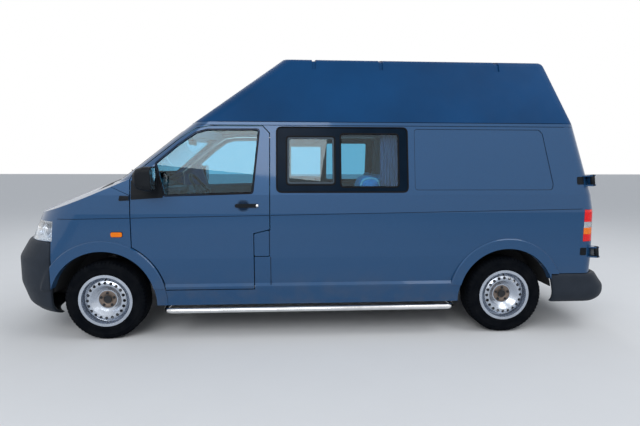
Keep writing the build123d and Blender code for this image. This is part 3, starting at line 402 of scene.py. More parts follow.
def glassMaterial(name, colour, shade=None, roughness=0.0, clearness=1.0):
    material, tree, shader, place = startMaterial(name, colour, roughness)
    setInputs(shader, {"Transmission Weight": clearness, "IOR": 1.45})
    smear = addRange(tree, addNoise(tree, place, 5, 4), roughness, roughness + 0.03, 0.55, 0.9)
    tree.links.new(smear, shader.inputs["Roughness"])
    path = tree.nodes.new("ShaderNodeLightPath")
    clear = tree.nodes.new("ShaderNodeBsdfTransparent")
    setInputs(clear, {"Color": (*(shade or colour), 1)})
    mix = tree.nodes.new("ShaderNodeMixShader")
    tree.links.new(path.outputs["Is Shadow Ray"], mix.inputs["Fac"])
    tree.links.new(shader.outputs["BSDF"], mix.inputs[1])
    tree.links.new(clear.outputs["BSDF"], mix.inputs[2])
    tree.links.new(mix.outputs["Shader"], tree.nodes["Material Output"].inputs["Surface"])
    return material


def clothMaterial(name, colour, second, threads=700, roughness=0.85):
    material, tree, shader, place = startMaterial(name, colour, roughness)
    weave = []
    for turn in (0, math.pi / 2):
        mapping = tree.nodes.new("ShaderNodeMapping")
        setInputs(mapping, {"Rotation": (turn, 0.4, turn)})
        tree.links.new(place, mapping.inputs["Vector"])
        wave = tree.nodes.new("ShaderNodeTexWave")
        setInputs(wave, {"Scale": threads / 6, "Distortion": 1.2})
        tree.links.new(mapping.outputs["Vector"], wave.inputs["Vector"])
        weave.append(wave.outputs["Fac"])
    height = addMath(tree, "MULTIPLY", weave[0], weave[1])
    mottled = addRange(tree, addNoise(tree, place, 60, 4), 0, 1, 0.35, 0.65)
    blend = addMath(tree, "MULTIPLY", height, mottled)
    tree.links.new(addMix(tree, blend, colour, second), shader.inputs["Base Color"])
    addBump(tree, shader, height, 0.4, 0.0006)
    setInputs(shader, {"Sheen Weight": 0.3})
    return material


def rubberMaterial(black=(0.002, 0.003, 0.005), dust=(0.012, 0.013, 0.015)):
    material, tree, shader, place = startMaterial("tyreRubber", black, 0.75)
    dusty = addRange(tree, addNoise(tree, place, 11, 6), 0, 0.5, 0.4, 0.8)
    tree.links.new(addMix(tree, dusty, black, dust), shader.inputs["Base Color"])
    addBump(tree, shader, addNoise(tree, place, 320, 3), 0.3, 0.0005)
    setInputs(shader, {"Specular IOR Level": 0.04})
    return material


def woodMaterial():
    material, tree, shader, place = startMaterial("paleLaminate", (0.52, 0.4, 0.26), 0.42)
    grain = addNoise(tree, place, 6, 8, (1.5, 14, 14))
    colour = addMix(tree, addRange(tree, grain, 0, 1, 0.3, 0.7), (0.58, 0.46, 0.31), (0.4, 0.29, 0.18))
    tree.links.new(colour, shader.inputs["Base Color"])
    addBump(tree, shader, grain, 0.15, 0.0004)
    return material


finishes = {
    "paint": paintMaterial(),
    "roofPaint": roofMaterial(),
    "underseal": plasticMaterial("underseal", (0.03, 0.031, 0.033), 0.8, 60, 0.003),
    "frameBlack": plasticMaterial("frameBlack", (0.001, 0.007, 0.017), 0.24, 500, 0.0001, 0.05),
    "grainBlack": plasticMaterial("grainBlack", (0.006, 0.008, 0.011), 0.5, 700),
    "bumperGrey": plasticMaterial("bumperGrey", (0.02, 0.026, 0.036), 0.52, 650, 0.0008),
    "sealRubber": plasticMaterial("sealRubber", (0.004, 0.004, 0.005), 0.6, 300),
    "cabPlastic": plasticMaterial("cabPlastic", (0.05, 0.053, 0.06), 0.6, 600),
    "chassis": metalMaterial("chassisBlack", (0.035, 0.035, 0.037), 0.55, metallic=0.2, scale=60),
    "castIron": metalMaterial("castIron", (0.16, 0.155, 0.15), 0.5, scale=90),
    "exhaust": metalMaterial("exhaustSteel", (0.3, 0.27, 0.24), 0.4, scale=40),
    "tube": metalMaterial("polishedTube", (0.78, 0.79, 0.8), 0.12, (2, 60, 60)),
    "rim": metalMaterial("silverEnamel", (0.5, 0.55, 0.63), 0.24, metallic=0.8, scale=40),
    "hubSteel": metalMaterial("hubSteel", (0.19, 0.15, 0.125), 0.5, metallic=0.5, scale=50),
    "darkSteel": metalMaterial("darkSteel", (0.03, 0.032, 0.036), 0.4, metallic=0.6, scale=80),
    "disc": metalMaterial("brakeSteel", (0.45, 0.44, 0.43), 0.3, scale=200),
    "chrome": metalMaterial("reflectorChrome", (0.9, 0.9, 0.91), 0.06, scale=20),
    "glass": glassMaterial("windowGlass", (0.3, 0.62, 0.77)),
    "sashGrey": plasticMaterial("sashGrey", (0.05, 0.07, 0.09), 0.4, 300, 0.0002),
    # the two cup finishes below are painted shade: dark blues for the handle cups, the grooves and the
    # recess edge, and the body's blue made darker inside the handle hollows
    "cupShade": plasticMaterial("cupShade", (0.006, 0.012, 0.022), 0.35, 260, 0.0002),
    "cupTone": plasticMaterial("cupTone", (0.003, 0.017, 0.045), 0.3, 260, 0.0002),
    "amber": plasticMaterial("amberLens", (0.75, 0.17, 0.01), 0.18, 90, 0.0003),
    "bezel": metalMaterial("lampBezel", (0.5, 0.57, 0.66), 0.24, metallic=0.6, scale=60),
    "mirror": metalMaterial("mirrorSilver", (0.3, 0.34, 0.38), 0.03, scale=8),
    "lensClear": glassMaterial("lensClear", (0.95, 0.96, 0.97)),
    "lensRed": glassMaterial("lensRed", (0.92, 0.016, 0.02), (0.8, 0.05, 0.03), 0.05, 0.45),
    "lensAmber": glassMaterial("lensAmber", (0.98, 0.3, 0.02), (0.95, 0.45, 0.06), 0.05, 0.45),
    "cloth": clothMaterial("seatCloth", (0.045, 0.052, 0.065), (0.12, 0.135, 0.16)),
    "paleCloth": clothMaterial("paleCloth", (0.55, 0.62, 0.66), (0.78, 0.82, 0.84)),
    "blueCloth": clothMaterial("blueCloth", (0.08, 0.26, 0.5), (0.16, 0.4, 0.66)),
    "curtain": clothMaterial("curtainCloth", (0.2, 0.1, 0.17), (0.32, 0.18, 0.27), 900),
    "vinyl": plasticMaterial("floorVinyl", (0.16, 0.15, 0.14), 0.5, 120, 0.0004),
    "grip": plasticMaterial("gripLeather", (0.02, 0.02, 0.022), 0.45, 420, 0.0008),
    "lining": clothMaterial("liningCloth", (0.34, 0.37, 0.4), (0.45, 0.48, 0.5), 500),
    "cardCloth": clothMaterial("cardCloth", (0.13, 0.14, 0.155), (0.19, 0.2, 0.22), 500),
    "wood": woodMaterial(),
    "tyre": rubberMaterial(),
}
nodeFinish = {
    "underseal": ["floor_pan", "bulkhead", "wheelhouses"],
    "paint": ["side_left", "side_right", "sliding_door", "roof_frame", "wings", "bonnet", "fuel_flap"],
    # the high roof takes the darker roof paint, painted shade
    "roofPaint": ["high_roof"],
    "frameBlack": ["window_frames"],
    "grainBlack": ["fuel_tank", "grille"],
    "bumperGrey": ["front_bumper", "rear_bumper"],
    "lensClear": ["lamps"],
    "glass": ["fixed_glass"],
    "chassis": ["front_axle", "rear_axle"],
    "castIron": ["engine_block"],
    "exhaust": ["exhaust"],
    "tube": ["side_bars"],
    "cabPlastic": ["dashboard", "steering_wheel", "cab_seat_bases"],
    "cloth": ["cushions"],
    "wood": ["camper_furniture"],
    "tyre": ["tyre_" + wheel for wheel in wheelCentre],
    "rim": ["rim_" + wheel for wheel in wheelCentre],
}
for label in sides:
    nodeFinish["paint"] += ["door_" + label, "rear_door_" + label]
    nodeFinish["glass"] += ["door_" + label + "_glass", "rear_glass_" + label]
    nodeFinish["grainBlack"].append("door_" + label + "_fittings")
    nodeFinish["chassis"].append("knuckle_" + label)
for finish, names in nodeFinish.items():
    for name in names:
        painted(nodes[name], finish)
print("finishes made:", len(finishes))

# Camera at the photograph's viewing angle, fitted to the wheels and windows in it
camera = {
    "place": Vector((-0.1753, -4.5565, 1.4683)),
    "yaw": 0.0573,
    "pitch": -0.1107,
    "roll": 0.002,
    "lens": 24.75,
    "sensor": 36,
    "clipEnd": 200,
}
yaw, pitch = camera["yaw"], camera["pitch"]
forward = Vector((math.sin(yaw) * math.cos(pitch), math.cos(yaw) * math.cos(pitch), math.sin(pitch)))
level = Vector((math.cos(yaw), -math.sin(yaw), 0))
upright = level.cross(forward)
across = level * math.cos(camera["roll"]) + upright * math.sin(camera["roll"])
upright = upright * math.cos(camera["roll"]) - level * math.sin(camera["roll"])
turn = Matrix((across, upright, -forward)).transposed()
cameraData = bpy.data.cameras.new("camera")
cameraData.lens = camera["lens"]
cameraData.sensor_width = camera["sensor"]
cameraData.clip_end = camera["clipEnd"]
cameraObject = placed("camera", cameraData)
cameraObject.matrix_world = Matrix.Translation(camera["place"]) @ turn.to_4x4()
bpy.context.scene.camera = cameraObject

# Studio: pale floor, soft lamps, white surroundings
studio = {
    "floorHalf": 60,
    "floorColour": (0.74, 0.75, 0.76),
    "worldLight": (0.62, 0.66, 0.72),
    "worldStrength": 0.75,
    "lamps": [
        # place, target, width, height, watts
        ((-2.5, -7.5, 5.5), (0, 0, 1.0), 7.0, 3.5, 330),
        ((4.5, -3.0, 6.5), (0.5, 0, 1.2), 5.0, 4.0, 150),
        ((0.0, 6.0, 5.5), (0, 0, 1.2), 7.0, 3.0, 170),
    ],
}
half = studio["floorHalf"]
floor = meshPiece(
    "studioFloor", [(-half, -half, 0), (half, -half, 0), (half, half, 0), (-half, half, 0)], [(0, 1, 2, 3)]
)
floorMaterial, floorTree, floorShader, floorPlace = startMaterial(
    "studioFloor", studio["floorColour"], 0.85
)
speckle = addRange(floorTree, addNoise(floorTree, floorPlace, 3, 3), 0.97, 1.0)
tone = floorTree.nodes.new("ShaderNodeMix")
tone.data_type = "RGBA"
tone.blend_type = "MULTIPLY"
setInputs(tone, {"Factor": 1})
tone.inputs[6].default_value = (*studio["floorColour"], 1)
floorTree.links.new(speckle, tone.inputs[7])
floorTree.links.new(tone.outputs[2], floorShader.inputs["Base Color"])
finishes["studioFloor"] = floorMaterial
painted(floor, "studioFloor")

world = bpy.data.worlds.new("studio")
bpy.context.scene.world = world
world.use_nodes = True
worldTree = world.node_tree
lighting = worldTree.nodes["Background"]
setInputs(lighting, {"Color": (*studio["worldLight"], 1), "Strength": studio["worldStrength"]})
white = worldTree.nodes.new("ShaderNodeBackground")
setInputs(white, {"Color": (1, 1, 1, 1), "Strength": 1})
path = worldTree.nodes.new("ShaderNodeLightPath")
seen = addMath(worldTree, "MAXIMUM", path.outputs["Is Camera Ray"], path.outputs["Is Glossy Ray"])
seen = addMath(worldTree, "MAXIMUM", seen, path.outputs["Is Transmission Ray"])
choose = worldTree.nodes.new("ShaderNodeMixShader")
worldTree.links.new(seen, choose.inputs["Fac"])
worldTree.links.new(lighting.outputs["Background"], choose.inputs[1])
worldTree.links.new(white.outputs["Background"], choose.inputs[2])
worldTree.links.new(choose.outputs["Shader"], worldTree.nodes["World Output"].inputs["Surface"])
for number, (place, target, width, height, watts) in enumerate(studio["lamps"]):
    lampData = bpy.data.lights.new("softbox", "AREA")
    lampData.shape = "RECTANGLE"
    lampData.size = width
    lampData.size_y = height
    lampData.energy = watts
    lamp = placed("softbox" + str(number), lampData)
    lamp.location = place
    lamp.rotation_euler = (Vector(target) - Vector(place)).to_track_quat("-Z", "Y").to_euler()
bpy.context.scene.view_settings.view_transform = "Standard"
print("studio ready")


# Repeats: copies of one small block along a line, round an axle or both
def repeatTree():
    tree = bpy.data.node_groups.new("repeats", "GeometryNodeTree")
    tree.is_modifier = True
    sockets = {}
    face = tree.interface
    face.new_socket("Block", in_out="INPUT", socket_type="NodeSocketGeometry")
    for label, kind in (
        ("Count", "NodeSocketInt"), ("Step", "NodeSocketVector"), ("Turn", "NodeSocketFloat"),
        ("Finish", "NodeSocketMaterial")
    ):
        sockets[label] = face.new_socket(label, in_out="INPUT", socket_type=kind).identifier
    face.new_socket("Copies", in_out="OUTPUT", socket_type="NodeSocketGeometry")
    kinds = {
        "inputs": "NodeGroupInput",
        "result": "NodeGroupOutput",
        "points": "GeometryNodePoints",
        "index": "GeometryNodeInputIndex",
        "place": "ShaderNodeVectorMath",
        "angle": "ShaderNodeMath",
        "spin": "ShaderNodeCombineXYZ",
        "copies": "GeometryNodeInstanceOnPoints",
        "real": "GeometryNodeRealizeInstances",
        "finish": "GeometryNodeSetMaterial",
    }
    step = {label: tree.nodes.new(kind) for label, kind in kinds.items()}
    step["place"].operation = "SCALE"
    step["angle"].operation = "MULTIPLY"
    # from a node's output to a node's input
    wires = [
        ("inputs", "Count", "points", "Count"), ("inputs", "Step", "place", 0),
        ("index", 0, "place", "Scale"), ("place", "Vector", "points", "Position"), ("index", 0, "angle", 0),
        ("inputs", "Turn", "angle", 1), ("angle", 0, "spin", "Y"), ("points", 0, "copies", "Points"),
        ("inputs", "Block", "copies", "Instance"), ("spin", 0, "copies", "Rotation"),
        ("copies", 0, "real", 0), ("real", 0, "finish", "Geometry"),
        ("inputs", "Finish", "finish", "Material"), ("finish", 0, "result", 0)
    ]
    for start, output, end, entry in wires:
        tree.links.new(step[start].outputs[output], step[end].inputs[entry])
    return tree, sockets


repeats, repeatSockets = repeatTree()


def repeated(name, block, count, finish, step=(0, 0, 0), turn=0.0, shift=(0, 0, 0)):
    copier = block.modifiers.new("copies", "NODES")
    copier.node_group = repeats
    copier[repeatSockets["Count"]] = count
    copier[repeatSockets["Step"]] = step
    copier[repeatSockets["Turn"]] = turn
    copier[repeatSockets["Finish"]] = finishes[finish]
    plainMesh(block)
    block.name = name
    block.data.name = name
    block.data.transform(Matrix.Translation(shift))
    return painted(block, finish)


# Tyres with a grooved tread and shoulder lugs, and no words on the walls
tyre = {
    "radius": 0.333,
    "halfWidth": 0.1025,
    "grooveDepth": 0.008,
    "grooves": [-0.048, -0.016, 0.016, 0.048],
    "grooveWidth": 0.009,
    "shoulder": 0.068,
    "lugs": 64,
    "lugLength": 0.021,
    "segments": 120,
}


def tyreProfile():
    radius, half = tyre["radius"], tyre["halfWidth"]
    wall = [
        (0.2054, half - 0.018), (0.2204, half - 0.018), (0.2245, half - 0.0075), (0.2275, half - 0.0095),
        (0.236, half - 0.004), (0.2375, half - 0.0025), (0.2395, half - 0.0025), (0.241, half - 0.004),
        (0.262, half - 0.0012), (0.283, half - 0.0014), (0.2845, half - 0.0002), (0.2875, half - 0.0002),
        (0.289, half - 0.0018), (0.3, half - 0.0045), (0.3155, half - 0.0125),
        (radius - 0.011, half - 0.023), (radius - tyre["grooveDepth"], half - 0.0335),
        (radius - 0.0006, tyre["shoulder"] - 0.002)
    ]
    tread = []
    for place in reversed(tyre["grooves"]):
        half = tyre["grooveWidth"] / 2
        tread += [
            (radius, place + half + 0.001), (radius - tyre["grooveDepth"], place + half),
            (radius - tyre["grooveDepth"], place - half), (radius, place - half - 0.001)
        ]
    mirrored = [(r, -y) for r, y in reversed(wall)]
    return wall + tread + mirrored


def shoulderLug(side):
    # a block that lies over one shoulder, at the top of the tyre
    radius, length = tyre["radius"], tyre["lugLength"] / 2
    rows = [
        (radius - 0.0085, tyre["shoulder"] + 0.001, radius - 0.0004),
        (radius - 0.012, 0.0795, radius - 0.0048), (radius - 0.026, 0.0905, radius - 0.0125),
        (radius - 0.036, 0.0965, radius - 0.0285)
    ]
    points = []
    for low, place, high in rows:
        for along, height in ((-length, low), (-length, high), (length, high), (length, low)):
            points.append((along, side * place, height))
    faces = [(0, 1, 2, 3), (12, 15, 14, 13)]
    for row in range(3):
        for corner in range(4):
            a, b = 4 * row + corner, 4 * row + (corner + 1) % 4
            faces.append((a, a + 4, b + 4, b))
    return meshPiece("shoulderLug", points, faces, smooth=False)


for wheel, centre in wheelCentre.items():
    side = left if wheel.endswith("left") else right
    carcass = painted(
        lathePiece("carcass", tyreProfile(), centre, tyre["segments"], side, closed=True), "tyre"
    )
    turn = 2 * math.pi / tyre["lugs"]
    lugs = [
        repeated("lugs", shoulderLug(s), tyre["lugs"], "tyre", turn=turn, shift=centre) for s in (-1, 1)
    ]
    whole = joinPieces("tyre" + wheel.title().replace("_", ""), [carcass] + lugs)
    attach(whole, "wheel_" + wheel)
    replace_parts(whole, "tyre_" + wheel)
print("tyres made")

# Wheel bolts, hub plates and caps, brake discs, calipers and valves
# face: outer face of the wheel's disc, from the wheel's middle
hub = {
    "boltCircle": 0.056,
    "bolts": 5,
    "boltRings": [(0.0125, 0.0), (0.0125, 0.004), (0.0095, 0.005), (0.0095, 0.0135), (0.0075, 0.0155)],
    "face": 0.0425,
    "plate": [(0.0335, 0.0415), (0.0335, 0.0439), (0.069, 0.0439), (0.076, 0.0415)],
    "disc": [
        (0.074, 0.03), (0.078, 0.03), (0.081, -0.007), (0.148, -0.008), (0.15, -0.01), (0.15, -0.03),
        (0.074, -0.03)
    ],
    "discPlace": -0.02,
    "caliper": ((0.09, -0.026, -0.06), (0.152, 0.026, 0.06)),
    "valve": [(0.05, -0.012), (0.062, -0.014), (0.079, -0.022)],
    "valveRadius": 0.19,
    "valveWire": 0.0042,
    "cap": [
        (0.0, 0.0495), (0.018, 0.0492), (0.0255, 0.0488), (0.0275, 0.0505), (0.0305, 0.0505),
        (0.0315, 0.048), (0.0315, 0.03)
    ],
}


def boltHead():
    points = []
    for radius, along in hub["boltRings"]:
        for corner in range(6):
            angle = math.pi / 3 * corner
            points.append((radius * math.cos(angle), along, hub["boltCircle"] + radius * math.sin(angle)))
    faces = []
    for row in range(len(hub["boltRings"]) - 1):
        for corner in range(6):
            a, b = 6 * row + corner, 6 * row + (corner + 1) % 6
            faces.append((a, b, b + 6, a + 6))
    faces.append(tuple(range(6)))
    faces.append(tuple(range(len(points) - 6, len(points)))[::-1])
    return meshPiece("boltHead", points, faces, smooth=False)


for wheel, centre in wheelCentre.items():
    side = left if wheel.endswith("left") else right
    title = wheel.title().replace("_", "")
    face = hub["face"]
    bolt = boltHead()
    bolt.data.transform(Matrix.Diagonal((1, side, 1, 1)) @ Matrix.Translation((0, face, 0)))
    fixNormals(bolt)
    turn = 2 * math.pi / hub["bolts"]
    bolts = repeated("wheelBolts" + title, bolt, hub["bolts"], "darkSteel", turn=turn, shift=centre)
    plate = painted(lathePiece("hubPlate" + title, hub["plate"], centre, 60, side, True), "hubSteel")
    cap = painted(lathePiece("hubCap" + title, hub["cap"], centre, 48, side), "darkSteel")
    brake = painted(lathePiece("brakeDisc" + title, hub["disc"], centre, 72, side, True), "disc")
    route = [centre + Vector((0, side * y, hub["valveRadius"] + z)) for y, z in hub["valve"]]
    valve = tubePiece("valve" + title, route, hub["valveWire"], "sealRubber")
    rideAll("wheel_" + wheel, bolts, plate, cap, brake, valve)
    low, high = [centre + Vector((x, side * hub["discPlace"] + y, z)) for x, y, z in hub["caliper"]]
    caliper = painted(boxPiece("caliper" + title, low, high, 0.018), "castIron")
    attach(caliper, "steer_" + wheel[6:] if wheel.startswith("front") else "body")
print("wheel details made")


# Outlines for trim: a closed loop with rounded corners and points along its runs
def insetCorners(corners, distance):
    area = sum(a[0] * b[1] - b[0] * a[1] for a, b in zip(corners, corners[1:] + corners[:1]))
    turn = 1 if area > 0 else -1
    moved = []
    for number, here in enumerate(corners):
        before, after = corners[number - 1], corners[(number + 1) % len(corners)]
        one = Vector((before[1] - here[1], here[0] - before[0])).normalized() * turn
        two = Vector((here[1] - after[1], after[0] - here[0])).normalized() * turn
        moved.append(tuple(Vector(here) + (one + two) * distance / (1 + one.dot(two))))
    return moved


def roundedLoop(corners, radius, steps=5, runs=10):
    arcs = []
    for number, corner in enumerate(corners):
        here = Vector(corner)
        back = (Vector(corners[number - 1]) - here).normalized()
        ahead = (Vector(corners[(number + 1) % len(corners)]) - here).normalized()
        reach = radius / math.tan(back.angle(ahead) / 2)
        start, end = here + back * reach, here + ahead * reach
        arc = []
        for step in range(steps + 1):
            t = step / steps
            arc.append(start.lerp(here, t).lerp(here.lerp(end, t), t))
        arcs.append(arc)
    loop = []
    for number, arc in enumerate(arcs):
        following = arcs[(number + 1) % len(arcs)][0]
        loop += arc + [arc[-1].lerp(following, run / runs) for run in range(1, runs)]
    return loop


def boxCorners(x, z, width, height):
    return [
        (x - width / 2, z - height / 2), (x + width / 2, z - height / 2), (x + width / 2, z + height / 2),
        (x - width / 2, z + height / 2)
    ]


# Casting an outline on a surface: from the side (x, z), from an end (y, z) or from above (x, y)
def castOn(tree, start, way, lift):
    hit, normal, _, _ = tree.ray_cast(start, way)
    if hit is None:
        near = start + way * (start.length - 0.2)
        hit, normal, _, _ = tree.find_nearest(near)
    if normal.dot(way) > 0:
        normal = -normal
    return hit + normal * lift


def sideCast(tree, side):
    return lambda point, lift=0.0: castOn(
        tree, Vector((point[0], side * 1.3, point[1])), Vector((0, -side, 0)), lift
    )


def endCast(tree, end):
    return lambda point, lift=0.0: castOn(
        tree, Vector((end * 3, point[0], point[1])), Vector((-end, 0, 0)), lift
    )


def topCast(tree):
    return lambda point, lift=0.0: castOn(tree, Vector((point[0], point[1], 2.0)), Vector((0, 0, -1)), lift)


def ringOn(name, outer, inner, outerCast, innerCast, lift, thickness, finish):
    count = len(outer)
    points = [outerCast(p, lift) for p in outer] + [innerCast(p, lift) for p in inner]
    faces = [(n, (n + 1) % count, count + (n + 1) % count, count + n) for n in range(count)]
    ring = meshPiece(name, points, faces)
    thicken(ring, thickness, 0.0)
    fixNormals(ring)
    return painted(ring, finish)


def patchOn(name, loop, cast, lift, thickness, finish, soft=0.0, cuts=2):
    work = bmesh.new()
    work.faces.new([work.verts.new((p[0], p[1], 0)) for p in loop])
    bmesh.ops.triangulate(work, faces=work.faces)
    bmesh.ops.subdivide_edges(work, edges=work.edges, cuts=cuts, use_grid_fill=True)
    for vert in work.verts:
        vert.co = cast(vert.co, lift)
    bmesh.ops.recalc_face_normals(work, faces=work.faces)
    patch = fromWork(name, work)
    thicken(patch, thickness, 0.0)
    fixNormals(patch)
    if soft:
        bevel(patch, soft, 2, 50)
    patch.data.shade_smooth()
    return painted(patch, finish)


# Headlamps and tail lamps: thin lenses over a bezel, bowls and a reflector
# bowls: y, z and turn outwards; bands: from z, to z and finish
lamps = {
    "lens": 0.0025,
    "bowlRadius": 0.062,
    "bowl": [(0.0, -0.052), (0.012, -0.051), (0.03, -0.042), (0.047, -0.025)],
    "bowls": [(0.655, 0.915, 0.0), (0.8, 0.915, 0.35)],
    "bulb": [
        (0.0, 0.0), (0.006, -0.001), (0.008, -0.008), (0.008, -0.03), (0.012, -0.032), (0.012, -0.046)
    ],
    "bands": [
        (0.8, 0.871, "lensRed"), (0.871, 0.925, "lensAmber"), (0.925, 0.978, "lensClear"),
        (0.978, 1.1, "lensRed")
    ],
    "bandGap": 0.0006,
    "wall": 0.0015,
}


def lampSkin(name, keep, lift, thickness, finish, low=None, high=None):
    work = bmesh.new()
    work.from_mesh(nodes["lamps"].data)
    bmesh.ops.remove_doubles(work, verts=work.verts, dist=2e-5)
    bmesh.ops.recalc_face_normals(work, faces=work.faces)
    drop = [f for f in work.faces if not keep(f.calc_center_median(), f.normal)]
    bmesh.ops.delete(work, geom=drop, context="FACES")
    for height, way in ((low, -1), (high, 1)):
        if height:
            bmesh.ops.bisect_plane(
                work, geom=work.verts[:] + work.edges[:] + work.faces[:], plane_co=(0, 0, height),
                plane_no=(0, 0, way), clear_outer=True
            )
    for vert in work.verts:
        vert.co += vert.normal * lift
    piece = fromWork(name, work)
    if thickness:
        thicken(piece, thickness)
    piece.data.shade_flat()
    return painted(piece, finish)


lampTree = surfaceOf("lamps")
for label, side in sides.items():
    title = label.title()

    def headSkin(centre, normal, side=side):
        if centre.x > 0 or centre.y * side < 0 or abs(normal.z) > 0.8:
            return False
        return normal.x < -0.25 or normal.y * side > 0.5 and abs(centre.y) > 0.86

    def tailSkin(centre, normal, side=side):
        if centre.x < 0 or centre.y * side < 0 or abs(normal.z) > 0.8:
            return False
        return normal.x > 0.25 and centre.x > 2.4 or normal.y * side > 0.5

    def headHousing(centre, normal, side=side):
        return centre.x < 0 < centre.y * side and not headSkin(centre, normal, side)

    def tailHousing(centre, normal, side=side):
        return centre.x > 0 < centre.y * side and not tailSkin(centre, normal, side)

    lens = lampSkin("headlampLens" + title, headSkin, 0.0, lamps["lens"], "lensClear")
    bezel = lampSkin("headlampHousing" + title, headHousing, 0, lamps["wall"], "bezel")
    rideAll("body", lens, bezel)
    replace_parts(lens, "lamps")
    radius = lamps["bowlRadius"]
    profile = lamps["bowl"] + [(radius - 0.003, -0.006), (radius, 0.0), (radius + 0.004, -0.001)]
    spin = Matrix.Rotation(-math.pi / 2, 4, "Z")
    for number, (y, z, outward) in enumerate(lamps["bowls"]):
        bowl = lathePiece("lampBowl" + title + str(number), profile, (0, 0, 0), 48, left)
        thicken(bowl, 0.0012, 0.0)
        edge = castOn(lampTree, Vector((-3, side * (y + 0.04), z)), Vector((1, 0, 0)), 0)
        place = Matrix.Translation((edge.x + 0.022, side * y, z))
        bowl.data.transform(place @ Matrix.Rotation(side * -outward * 0.5, 4, "Z") @ spin)
        fixNormals(bowl)
        painted(bowl, "chrome")
        bulb = turnedPiece("lampBulb" + title + str(number), lamps["bulb"], place @ spin, "disc", 20, left)
        rideAll("body", bowl, bulb)
    reflector = lampSkin("tailReflector" + title, tailSkin, -0.014, 0.002, "chrome")
    housing = lampSkin("tailHousing" + title, tailHousing, 0, lamps["wall"], "grainBlack")
    rideAll("body", reflector, housing)
    gap = lamps["bandGap"]
    for number, (low, high, finish) in enumerate(lamps["bands"]):
        name = "tailLens" + title + str(number)
        band = lampSkin(name, tailSkin, -0.0002, lamps["lens"], finish, low + gap, high - gap)
        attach(band, "body")
print("lamps made")

# Seals: rubber between glass and metal, with the printed border inside the windscreen
windows = {
    "windscreen": [(-0.788, 1.352), (-0.7, 1.742), (0.7, 1.742), (0.788, 1.352)],
    "side": [(-0.325, 1.236), (0.774, 1.236), (0.774, 1.774), (-0.325, 1.774)],
    "panes": [
        [(-0.243, 1.297), (0.16, 1.297), (0.16, 1.697), (-0.243, 1.697)],
        [(0.206, 1.278), (0.697, 1.278), (0.697, 1.722), (0.206, 1.722)]
    ],
    "door": [
        (-1.236, 1.212), (-1.306, 1.47), (-1.127, 1.622), (-0.985, 1.722), (-0.89, 1.748), (-0.47, 1.752),
        (-0.524, 1.232)
    ],
    "rear": [(0.722, 1.285), (0.662, 1.69), (0.078, 1.69), (0.078, 1.285)],
    "border": 0.032,
}


def sealRing(name, corners, radius, reach, casts, finish, body, thickness=0.003, lift=0.0008):
    # reach: how far the ring goes outside and inside the opening's outline
    out, inside = reach
    outer = roundedLoop(insetCorners(corners, -out), radius + out)
    inner = roundedLoop(insetCorners(corners, inside), max(radius - inside, 0.006))
    ring = ringOn(name, outer, inner, casts[0], casts[1], lift, thickness, finish)
    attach(ring, body)


glassEnd = endCast(surfaceOf("fixed_glass"), -1)
noseEnd = endCast(surfaceOf("roof_frame", "side_left", "side_right", "bulkhead", "fixed_glass"), -1)
pane = windows["windscreen"]
sealRing("windscreenSeal", pane, 0.04, (0.006, 0.006), (noseEnd, glassEnd), "sealRubber", "body")
reach = (0, windows["border"])
pane = insetCorners(pane, 0.005)
sealRing("windscreenBorder", pane, 0.036, reach, (glassEnd, glassEnd), "frameBlack", "body", 0.0006, 0.0005)
for label, side in sides.items():
    title = label.title()
    wall = sideCast(surfaceOf("side_left" if side == left else "sliding_door", "window_frames"), side)
    frameCast = sideCast(surfaceOf("window_frames", "fixed_glass"), side)
    casts = (wall, frameCast)
    sealRing(
        "sideWindowSeal" + title, windows["side"], 0.045, (0.005, 0.006), casts, "sealRubber", "body", 0.004
    )
    casts = (frameCast, frameCast)
    for number, pane in enumerate(windows["panes"]):
        sealRing("paneSeal" + title + str(number), pane, 0.03, (0.005, 0.007), casts, "sealRubber", "body")
    pane = insetCorners(windows["panes"][0], 0.007)
    sealRing("slidingSash" + title, pane, 0.024, (0, 0.015), casts, "sashGrey", "body", 0.004)
    body = "front_door_" + label
    doorGlass = sideCast(surfaceOf("door_" + label + "_glass", "door_" + label), side)
    casts = (sideCast(surfaceOf("door_" + label), side), doorGlass)
    sealRing(
        "doorWindowSeal" + title, windows["door"], 0.022, (0.009, 0.008), casts, "sealRubber", body, 0.004
    )
    body = "back_door_" + label
    rearGlass = endCast(surfaceOf("rear_glass_" + label, "rear_door_" + label), 1)
    casts = (endCast(surfaceOf("rear_door_" + label), 1), rearGlass)
    # the rear window's outline is written for the right side
    pane = [(side * y, z) for y, z in windows["rear"]]
    sealRing("rearWindowSeal" + title, pane, 0.03, (0.007, 0.022), casts, "sealRubber", body)
print("seals made")

# Side trim: repeaters, handles, mirror glass, wing corner and the joint under the flap
trim = {
    "repeater": (-1.6205, 0.896, 0.089, 0.038),
    "cup": (-0.598, 1.128, 0.092, 0.094),
    "lock": (-0.484, 1.128),
    "lockProfile": [(0.0, 0.0035), (0.009, 0.003), (0.011, 0.001), (0.011, -0.006)],
    "wingCorner": [(-1.596, 1.17), (-1.507, 1.174), (-1.507, 1.208), (-1.586, 1.212)],
    "joint": [(-0.3805, 0.436), (-0.3755, 0.436), (-0.3755, 0.702), (-0.3805, 0.702)],
    "mirror": (1.066, 1.352, 0.146, 0.168),
    "mirrorFace": -1.2745,
}


def boxLoop(box, radius, grow=0.0):
    x, z, width, height = box
    return roundedLoop(boxCorners(x, z, width + grow, height + grow), radius)


